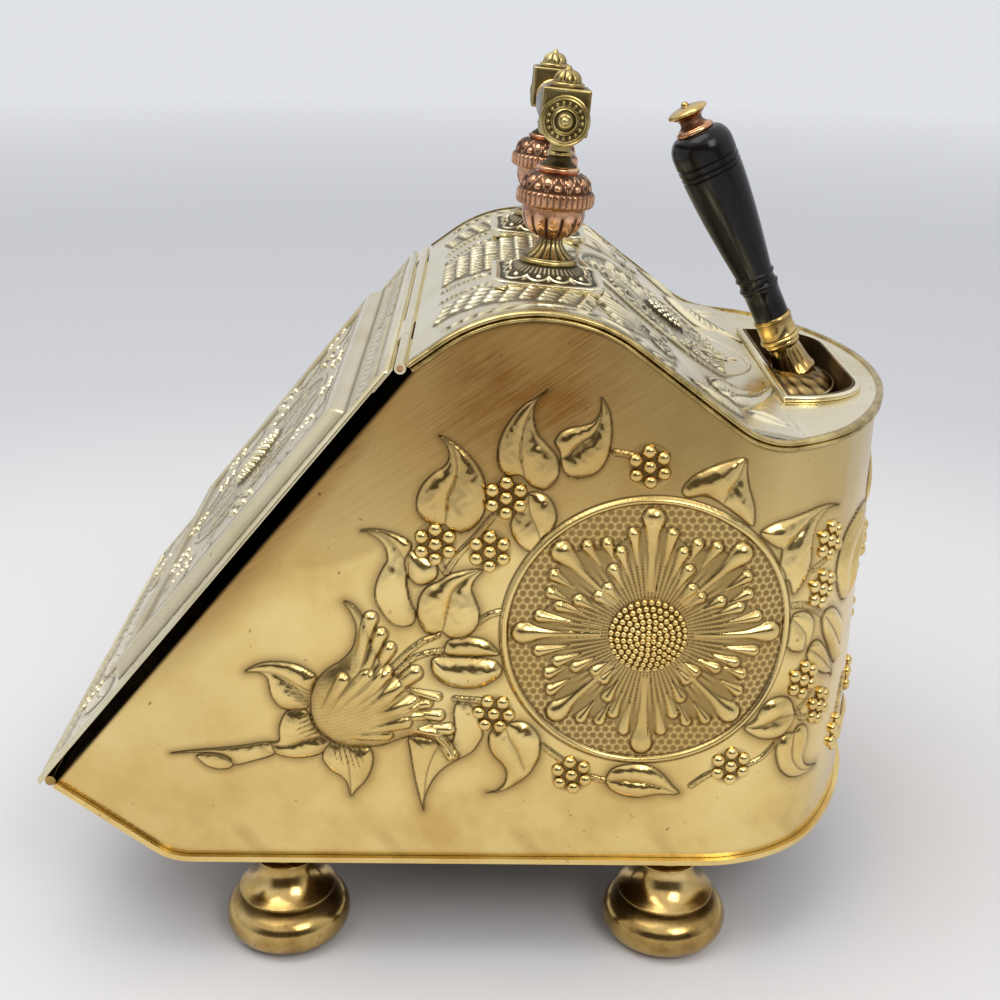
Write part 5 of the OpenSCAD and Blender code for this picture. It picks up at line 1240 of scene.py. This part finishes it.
def pressRosette(work, flower):
    # The round flower again, smaller: ring, honeycomb, eight clubs and the stepped fingers
    middle, radius, share = flower["middle"], flower["radius"], flower["share"]
    picked = nearbyPoints(work, middle, middle, radius + 2)
    du, dv = work["u"][picked] - middle[0], work["v"][picked] - middle[1]
    r, angle = np.hypot(du, dv), np.arctan2(dv, du)
    hole = honeycomb(du, dv, flower["cell"])
    ray = np.abs(np.cos(angle * 24))
    inRays = r < radius * 0.66
    flat = r < radius - 3
    height, dark = work["height"][picked], work["dark"][picked]
    height = np.where(flat, np.where(inRays, 0.5 * ray, 0.5 * hole ** 2.5 - 0.2), height)
    dark = np.where(flat, np.where(inRays, 0.7 * (1 - ray) ** 0.8, 0.45 * (1 - hole ** 4)), dark)
    height = np.maximum(height, 1.6 * np.sqrt(np.clip(1 - ((r - radius + 1.5) / 1.5) ** 2, 0, 1)))
    dark = np.maximum(dark, 0.85 * np.exp(-((np.abs(r - radius + 1.5) - 1.8) / 0.5) ** 2))
    work["height"][picked], work["dark"][picked] = height, dark
    for turn, reach, length in fingers:
        tip, root = spoke(middle, turn, reach * share - 2), spoke(middle, turn, (reach - length) * share)
        pressFinger(work, tip, root, 2.1, 0.9, 1.9)
    for turn in eighths:
        for tip, root, tipR, rootR, rise in ((60.8, 52, 5.0, 3.0, 2.4), (52, 24, 2.8, 2.0, 1.3)):
            pressFinger(work, spoke(middle, turn, tip * share), spoke(middle, turn, root * share),
                        tipR * share ** 0.5, rootR, rise)
    pressDome(work, picked, flower, 1, 0.8)


def pressScales(work, tip, root, tipHalf, rootHalf, rows, pitch):
    # A hop-like head of overlapping scales, in rows from its tip to its root
    def halfWidth(t):
        swell = np.sin(math.pi * np.minimum(t * 1.15, 1) * 0.62) / math.sin(math.pi * 0.62)
        return tipHalf + (rootHalf - tipHalf) * swell

    a, b = np.array(tip, dtype=float), np.array(root, dtype=float)
    length = np.hypot(*(b - a))
    run = (b - a) / length
    side = np.array((-run[1], run[0]))
    # dark between the scales
    along = (work["u"] - a[0]) * run[0] + (work["v"] - a[1]) * run[1]
    off = np.abs((work["u"] - a[0]) * side[0] + (work["v"] - a[1]) * side[1])
    half = halfWidth(np.clip(along / length, 0, 1))
    within = (along > -3) & (along < length + 3)
    darken(work, everywhere, 0.5 * within * np.clip((half + 1 - off) / 3, 0, 1))
    for k in range(rows):
        t = k / max(rows - 1, 1)
        half = halfWidth(t)
        count = max(int(2 * half / pitch), 1)
        for i in range(count):
            off = (i - (count - 1) / 2) * pitch
            middle = a + (b - a) * t + side * (off + 0.25 * pitch * (k % 2))
            lean = run * 1.0 - side * 0.35 * off / max(half, 1)
            lean /= np.hypot(*lean)
            pressFinger(work, middle - lean * 0.6, middle + lean * 4.2, 2.3, 1.2, 1.6)


topLeaves = [
    ([(88, 62), (97, 60), (106, 63), (112, 69), (108, 75), (99, 77), (91, 73), (87, 67)], [(88, 62),
      (99, 68), (112, 69)], 2.0),
    ([(46, 146), (58, 136), (66, 122), (76, 108), (88, 100), (98, 101), (102, 110), (99, 121), (90, 130),
      (76, 138), (60, 144)], [(46, 146), (64, 134), (82, 120), (100, 104)], 2.6),
    ([(118, 142), (107, 140), (99, 134), (98, 126), (104, 121), (113, 122), (119, 128), (121, 136)],
      [(118, 142), (110, 133), (104, 124)], 2.2),
    ([(128, 82), (120, 92), (114, 104), (116, 114), (123, 116), (129, 108), (132, 96)], [(128, 82),
      (121, 100), (121, 114)], 2.2),
    ([(70, 46), (64, 40), (62, 32), (68, 27), (76, 30), (78, 38)], [(70, 46), (68, 36), (68, 28)], 1.8),
    ([(20, 26), (12, 20), (10, 10), (16, 4), (26, 6), (30, 16), (28, 24)], [(20, 26), (20, 14), (18, 5)],
      1.8),
]


topFlower = {"middle": (0, 84), "radius": 58.5, "dome": 14.5, "domeHeight": 4.0, "cell": 3.9, "share": 0.8,
             "rings": (1, 6, 12, 18), "pitch": 3.6, "bead": 1.6, "beadRise": 4.0}
topStems = [[(38, -50), (46, -30), (50, -8)], [(128, -46), (132, -20), (134, 6), (132, 40), (136, 70)],
            [(62, -50), (68, -34), (72, -20)], [(132, 60), (124, 72), (112, 74)],
            [(60, 76), (74, 74), (88, 66)]]


def chaseTop(work):
    half = dict(work, u=np.abs(work["u"]))  # the two sides mirror each other
    pressScales(half, (0, -48), (0, 2), 26, 42, 7, 7.2)
    pressScales(half, (92, -48), (108, 24), 15, 22, 9, 7.0)
    for k in range(7):
        tip, root = (74 + 8.6 * k, 30 + 2.4 * abs(k - 2)), (86 + 2.6 * k, 62)
        pressFinger(half, tip, root, 3.0, 1.4, 2.0)
    for k in range(5):
        vein = [(70 + 14 * k, 14 + 3 * k), (76 + 13 * k, 30 + 2 * k), (80 + 10 * k, 48)]
        pressLine(half, vein, 0.5, 0.25, 0.6)
    for outline, vein, height in topLeaves:
        pressLeaf(half, outline, vein, height)
    for k in range(9):
        vein = [(64 + 3.4 * k, 138 - 3.6 * k), (74 + 3.0 * k, 134 - 2.6 * k), (84 + 2 * k, 127 - 2 * k)]
        pressLine(half, vein, 0.4, 0.3, 0.7)
    pressRosette(half, topFlower)
    for line in topStems:
        pressStem(half, line, 1.3, 1.0, 2)
    edge = np.abs(topSide(np.interp(work["v"], topTable["s"], topTable["y"])) - 4.6 - half["u"])
    work["height"][:] = 1.2 * work["height"] - 0.25 * np.exp(-(edge / 0.5) ** 2)
    work["dark"][:] = np.clip(np.maximum(1.5 * work["dark"], 0.7 * np.exp(-(edge / 0.5) ** 2)), 0, 0.95)


gridSkin("top_skin", "body", top["columns"], top["rows"], {"flat": topFlat, "bend": topBend}, chaseTop,
         paleLitTopBrass)


def beadDome(bm, place, flower, base):
    # Beads in rings over a dome
    for r, angle in beadRings(flower):
        h = base + flower["beadRise"] * math.sqrt(max(1 - (r / flower["dome"]) ** 2, 0))
        at = place @ Matrix.Translation((r * math.cos(angle), r * math.sin(angle), h))
        bmesh.ops.create_uvsphere(bm, u_segments=8, v_segments=5, radius=flower["bead"], matrix=at)


bm = bmesh.new()
y, z, ny, nz = (float(np.interp(topFlower["middle"][1], topTable["s"], topTable[key]))
                for key in ("y", "z", "ny", "nz"))
normal = Vector((0, ny, nz)).to_track_quat("Z", "Y").to_matrix().to_4x4()
beadDome(bm, bodyPlace @ Matrix.Translation((0, y, z)) @ normal, topFlower, 0.4)
finishPiece(bm, "top_flower_beads", "body", paleLitTopBrass, crease=180)
print("top: chased skin and beads")


# Bead along the edge of the top: two rolls with a fine groove between

edgeBead = {"start": -59.2, "end": 282.92, "steps": 520}
beadProfile = ([(0, 1.0), (0.6, 1.1)] + arcPoints(1.4, -0.35, 2.5, 75, -75, 10, 1.45) + [(2.6, -1.9)]
               + arcPoints(1.2, -3.05, 2.5, 60, -90, 10, 1.3) + [(0, -4.4), (0, 1.0)])


def beadPoint(across, up):
    t = 2 * across - 1
    u = edgeBead["start"] + (edgeBead["end"] - edgeBead["start"]) * (1 - abs(t))
    out, rise = beadProfile[round(up * (len(beadProfile) - 1))]
    x, y = onWall(np.array([u]), out)
    _, flatY = onWall(np.array([u]), 0.0)
    z, ny, nz = (float(np.interp(flatY[0], topTable["y"], topTable[key])) for key in ("z", "ny", "nz"))
    return Vector(((1 if t < 0 else -1) * x[0], y[0] + rise * ny, z + rise * nz)) + Vector(spot["middle"])


bm = mapGrid(edgeBead["steps"], len(beadProfile) - 1, beadPoint)
bmesh.ops.remove_doubles(bm, verts=bm.verts, dist=0.001)
bmesh.ops.holes_fill(bm, edges=[e for e in bm.edges if e.is_boundary], sides=0)
finishPiece(bm, "edge_bead", "body", agedCastBrass, ("top_bead",), crease=55)
print("edge bead")


# Lid: border, ovolo frame and sunk relief panel in one pressed sheet

lid = {"half": 140.8, "head": 6.2, "foot": 284.2, "columns": 281, "rows": 278, "under": 3.98, "face": 0.35,
       "frameSide": 131, "frameHead": 36, "frameFoot": 222.5}
lidFlower = {"middle": (0.0, (lid["frameHead"] + lid["frameFoot"]) / 2), "radius": 61, "dome": 22,
             "domeHeight": 5.4, "cell": 3.9, "share": 0.82, "rings": (1, 6, 12, 18, 24), "pitch": 4.4,
             "bead": 2.0, "beadRise": 3.6}


def lidFlat(across, up):
    return (2 * across - 1) * lid["half"], lid["foot"] + (lid["head"] - lid["foot"]) * up


def lidBend(work, behind):
    # s counts down from the hinge, so it is turned round in the lid's own frame
    out = np.where(behind, lid["under"], lid["under"] + lid["face"] + work["height"])
    points = np.stack([work["u"], -work["v"], out, np.ones(len(out))], axis=1)
    return (points @ np.array(lidPlace).T)[:, :3]


def frameRise(depth):
    # The frame's section, from its outer edge in: an ovolo, a flat, a fine inner lip, then the panel
    steps = [(0, 0), (0.7, 1.0), (2, 3.2), (3.8, 5.2), (6, 6.6), (8.4, 7.1), (10.2, 7.15), (10.6, 6.3),
             (11, 7.0), (12, 7.4), (13.1, 7.2), (13.9, 5.9), (14.6, 4.9), (16.5, 4.5), (20, 4.6)]
    return np.interp(depth, *zip(*steps))


lidLeaves = [
    ([(108, 62), (98, 60), (86, 62), (78, 70), (76, 80), (82, 86), (92, 84), (101, 76), (106, 69)],
      [(108, 62), (94, 68), (80, 82)], 2.6),
    ([(110, 98), (102, 92), (92, 91), (84, 96), (82, 104), (88, 109), (98, 109), (106, 105)], [(110, 98),
      (96, 99), (84, 102)], 2.4),
    ([(110, 158), (103, 151), (93, 149), (84, 153), (82, 161), (87, 168), (97, 168), (105, 164)],
      [(110, 158), (96, 158), (84, 159)], 2.4),
    ([(108, 196), (98, 198), (86, 196), (78, 188), (76, 178), (82, 172), (92, 174), (101, 182), (106, 190)],
      [(108, 196), (94, 190), (80, 176)], 2.6),
    ([(40, 56), (50, 60), (60, 58), (68, 60), (66, 68), (56, 71), (46, 67)], [(40, 56), (54, 64), (67, 62)],
      2.2),
    ([(40, 202), (50, 198), (60, 200), (68, 198), (66, 190), (56, 187), (46, 191)], [(40, 202), (54, 194),
      (67, 196)], 2.2),
    ([(4, 234), (18, 230), (30, 236), (34, 246), (26, 256), (12, 258), (5, 250)], [(4, 234), (18, 244),
      (32, 248)], 2.3),
    ([(44, 262), (52, 248), (64, 238), (78, 236), (84, 244), (78, 256), (62, 264)], [(44, 262), (62, 250),
      (82, 240)], 2.3),
    ([(128, 236), (118, 234), (104, 238), (94, 248), (96, 258), (108, 262), (120, 254)], [(128, 236),
      (112, 248), (97, 254)], 2.3),
]
lidClusters = [(70, 76, 20), (74, 128, 90), (112, 128, 90), (70, 182, 70), (28, 60, 0), (28, 198, 0),
               (44, 240, 30), (88, 264, 0), (112, 76, 60), (112, 182, 60)]
lidStems = [[(60, 110), (72, 100), (84, 98)], [(60, 148), (72, 158), (84, 160)],
            [(58, 80), (66, 86), (76, 82)], [(58, 178), (66, 172), (76, 176)],
            [(34, 246), (50, 250), (64, 250)], [(84, 248), (94, 252), (104, 250)]]


def chaseLid(work):
    half = dict(work, u=np.abs(work["u"]))
    u, v = half["u"], half["v"]
    depth = np.minimum(np.minimum(lid["frameSide"] - u, v - lid["frameHead"]), lid["frameFoot"] - v)
    rise = np.where(depth > 0, frameRise(np.clip(depth, 0, 20)), 0.0)
    # border bands: drops in pairs, head, sides and foot
    for k in range(14):
        for side in (1, -1):
            x = 6 + 9.4 * k
            pressFinger(half, (x, 21 + 5.4 * side), (x + 6.5, 21 + 1.2 * side), 2.2, 1.0, 1.5)
            pressFinger(half, (x, 276 + 3.8 * side), (x + 6, 276 + 0.9 * side), 1.6, 0.8, 1.1)
    for k in range(30):
        for side in (1, -1):
            tip, root = (135.8 + 2.3 * side, 12 + 9 * k), (135.8 + 0.6 * side, 18 + 9 * k)
            pressFinger(half, tip, root, 1.5, 0.7, 1.0)
    for x, s, _ in lidClusters:
        pressCluster(half, (x, s))
    for line in lidStems:
        pressStem(half, line, 1.5, 1.2, 3)
    for outline, vein, height in lidLeaves:
        pressLeaf(half, outline, vein, height)
    pressRosette(half, lidFlower)
    # a stippled ground round the leaves
    grain = (0.5 + 0.5 * np.cos(u * 2.4 + v * 0.9)) * (0.5 + 0.5 * np.cos(v * 2.3 - u * 0.8))
    plain = np.clip(1 - half["height"] / 0.4, 0, 1) * ((depth > 15) | (depth < -2))
    darken(half, everywhere, 0.5 * grain * plain)
    onFrame = (depth > 0) & (depth < 14.6)
    half["height"][:] = np.where(onFrame, rise, half["height"] * np.where(depth > 14.6, 0.62, 0.8) + rise)
    half["dark"][:] = np.where(onFrame, 0.0, half["dark"])
    half["brown"][:] = np.maximum(half["brown"], 0.12)
    for line, tone in ((0.0, 0.85), (10.6, 0.9), (14.8, 0.85)):
        darken(half, everywhere, tone * np.exp(-((depth - line) / 0.7) ** 2))


gridSkin("lid_skin", "lid", lid["columns"], lid["rows"], {"flat": lidFlat, "bend": lidBend}, chaseLid,
         paleLitTopBrass, ("lid_frame", "lid_panel"))
bm = bmesh.new()
panel = lid["under"] + lid["face"] + 4.6
beadDome(bm, lidPlace @ Matrix.Translation((0, -lidFlower["middle"][1], 0)), lidFlower, panel)
for side in (1, -1):
    for cluster in lidClusters:
        base = panel - 0.3 if cluster[1] < lid["frameFoot"] - 7.5 else lid["under"] + lid["face"] + 0.1
        for x, s in clusterSpots(*cluster):
            addBead(bm, lidPlace @ Matrix.Translation((side * x, -s, base)), berry["lidRadius"], berry["lidRise"])
finishPiece(bm, "lid_berries", "lid", paleLitTopBrass, crease=180)
softened("lid_folded_rim", "lid_rim", "lid", paleLitTopBrass, 0.9, 3)
softened("pocket_raised_rim", "pocket_rim", "body", paleLitTopBrass, 1.0, 3)
print("lid: chased sheet, berries and rim")


# Shovel's heel: a shell of ridges round the socket's foot

heel = {"front": 137.6, "middle": 111.3, "reach": 58.6, "slab": 219.5, "low": 216.5, "ball": (149.3, 185.5),
        "ballR": 45, "ridges": 26}


def heelGround(x, dy):
    # the ball's dome, and the flat slab round it
    dome = heel["ball"][1] + math.sqrt(max(heel["ballR"] ** 2 - x * x - dy * dy, 0))
    return max(dome, heel["slab"] - 0.4)


def heelPoint(across, up):
    far = math.sqrt(heel["reach"] ** 2 - (heel["front"] - heel["middle"]) ** 2)
    x = far * math.sin(math.radians(89.5 * (2 * across - 1)))
    y = heel["front"] + (heel["middle"] + math.sqrt(max(heel["reach"] ** 2 - x * x, 0)) - heel["front"]) * up
    dy = y - heel["ball"][0]
    r, angle = math.hypot(x, dy), math.atan2(x, dy + 14)
    ridge = abs(math.cos(angle * heel["ridges"] / 2)) ** 0.6
    fall = min(max((r - 11) / 5, 0), 1) * (1 - ease(r, 34, 40) * 0.6)
    scallop = 0.5 + 0.5 * math.cos(r * 2 * math.pi / 8.5 + 1.5 * math.cos(angle * 6))
    rise = fall * (1.1 * ridge + 0.7 * scallop - 1.4)
    return Vector((x, y, heelGround(x, dy) + rise - 1.2 * ease(up, 0.94, 1.0))) + Vector(spot["middle"])


bm = mapGrid(150, 60, heelPoint)
layer = bm.verts.layers.float.new("patinaAndPaintedShade")
for vert in bm.verts:
    x, y, z = vert.co - Vector(spot["middle"])
    over = z - heelGround(x, y - heel["ball"][0])
    vert[layer] = min(max(0.55 - 0.55 * over, 0.15), 1.0)
rim = [e for e in bm.edges if e.is_boundary]
made = bmesh.ops.extrude_edge_only(bm, edges=rim)["geom"]
for vert in made:
    if isinstance(vert, bmesh.types.BMVert):
        vert.co.z = heel["low"] + spot["middle"][2]
bmesh.ops.remove_doubles(bm, verts=bm.verts, dist=0.01)
bmesh.ops.holes_fill(bm, edges=[e for e in bm.edges if e.is_boundary], sides=0)
finishPiece(bm, "shell_heel", "shovel", castBrass, ("shovel_heel",), crease=70)
print("shovel heel")


# Finishes of the CAD nodes that stay

kept = {
    sootyBrass: ["right_wall", "left_wall", "back_seam_strap", "base_sheet", "pocket_floor", "pocket_sleeve",
                 "lid_sheet"],
    sheetBrass: ["base_seam", "right_mouth_hem", "left_mouth_hem"],
    paleLitTopBrass: ["top_sheet", "top_hinge_leaf", "lid_hinge_leaf"],
    castBrass: ["lip_wire", "shovel_scoop"],
    polishedCopper: ["hinge_pin"],
    plainSteel: ["right_post_stud", "left_post_stud", "post_nuts", "handle_rod", "foot_studs", "foot_nuts",
                 "shovel_tang"],
}
for material, names in kept.items():
    for name in names:
        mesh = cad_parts[name].data
        mesh.materials.clear()
        mesh.materials.append(material)
print("CAD nodes given a finish: %d" % sum(len(names) for names in kept.values()))


# Stage, lamps and camera

# The floor's colour stays pale grey under the object, darkens a little about a metre out, then pales towards
# white by five metres: painted falloff of the studio light
stage = {"stops": ((0.12, "#d5d4d5"), (0.2, "#c8c9cd"), (0.45, "#ccced3"), (1.0, "#eff1f6")), "fade": 5.0,
         "reach": 60.0}

bm = bmesh.new()
bmesh.ops.create_circle(bm, cap_ends=True, segments=64, radius=stage["reach"])
floorMesh = bpy.data.meshes.new("floor")
bm.to_mesh(floorMesh)
bm.free()
floorMaterial, tree = newMaterial("matPaleFloor")
where = addNode(tree, "ShaderNodeTexCoord").outputs["Object"]
away = addNode(tree, "ShaderNodeVectorMath", {0: where}, operation="LENGTH").outputs["Value"]
paint = ramp(tree, mapRange(tree, away, 0.0, stage["fade"]), *stage["stops"])
floorShader = addNode(tree, "ShaderNodeBsdfPrincipled", {"Base Color": paint, "Roughness": 0.6,
                                                         "Specular IOR Level": 0.2})
addNode(tree, "ShaderNodeOutputMaterial", {"Surface": floorShader.outputs[0]})
floorMesh.materials.append(floorMaterial)
floor = bpy.data.objects.new("floor", floorMesh)
bpy.context.scene.collection.objects.link(floor)

# A studio: pale at the horizon and white above, with a dark band behind the camera for the brass to mirror
world = bpy.data.worlds.new("studio")
bpy.context.scene.world = world
world.use_nodes = True
tree = world.node_tree
tree.nodes.clear()
direction = addNode(tree, "ShaderNodeTexCoord").outputs["Generated"]
parts = addNode(tree, "ShaderNodeSeparateXYZ", {0: direction}).outputs
plainSide = ramp(tree, parts["Z"], (0.0, "#d9dbe0"), (0.12, "#c9cbd1"), (0.35, "#dfe0e3"), (0.7, "#ffffff"))
darkSide = ramp(tree, parts["Z"], (0.02, "#d9dbe0"), (0.07, "#575048"), (0.46, "#48423b"), (0.6, "#ffffff"))
sky = mix(tree, mapRange(tree, parts["X"], 0.4, 0.72), plainSide, darkSide)
background = addNode(tree, "ShaderNodeBackground", {"Color": sky, "Strength": 1.0})
addNode(tree, "ShaderNodeOutputWorld", {"Surface": background.outputs[0]})


def addLamp(name, place, target, size, power):
    lampData = bpy.data.lights.new(name, "AREA")
    lampData.shape = "SQUARE"
    lampData.size = size
    lampData.energy = power
    lamp = bpy.data.objects.new(name, lampData)
    lamp.location = place
    lamp.rotation_euler = (Vector(target) - Vector(place)).to_track_quat("-Z", "Y").to_euler()
    bpy.context.scene.collection.objects.link(lamp)


addLamp("overheadSoftbox", (0.3, -0.5, 1.7), (0, 0, 0.2), 1.2, 13)
addLamp("sideSoftbox", (1.3, 0.7, 1.3), (0.3, 0, 0.1), 0.7, 8)

# The camera, found from the photograph's edges: a 50 mm lens, 0.91 m away, looking 21 degrees down
shot = {"place": (0.76117, 0.003257, 0.50010), "lens": 50.4, "tilt": 0.364726, "swing": 0.0136613,
        "roll": 0.0164395}
cameraData = bpy.data.cameras.new("camera")
cameraData.lens = shot["lens"]
cameraData.sensor_width = 36
cameraData.clip_start = 0.01
tilt, swing, roll = shot["tilt"], shot["swing"], shot["roll"]
forward = Vector((-math.cos(tilt) * math.cos(swing), math.cos(tilt) * math.sin(swing), -math.sin(tilt)))
level = Vector((math.sin(swing), math.cos(swing), 0))
upright = level.cross(forward)
right = math.cos(roll) * level + math.sin(roll) * upright
up = -math.sin(roll) * level + math.cos(roll) * upright
turn = Matrix((right, up, -forward)).transposed().to_4x4()
camera = bpy.data.objects.new("camera", cameraData)
camera.matrix_world = Matrix.Translation(shot["place"]) @ turn
bpy.context.scene.collection.objects.link(camera)
bpy.context.scene.camera = camera
bpy.context.scene.view_settings.view_transform = "Standard"

print("stage, lamps and camera set")
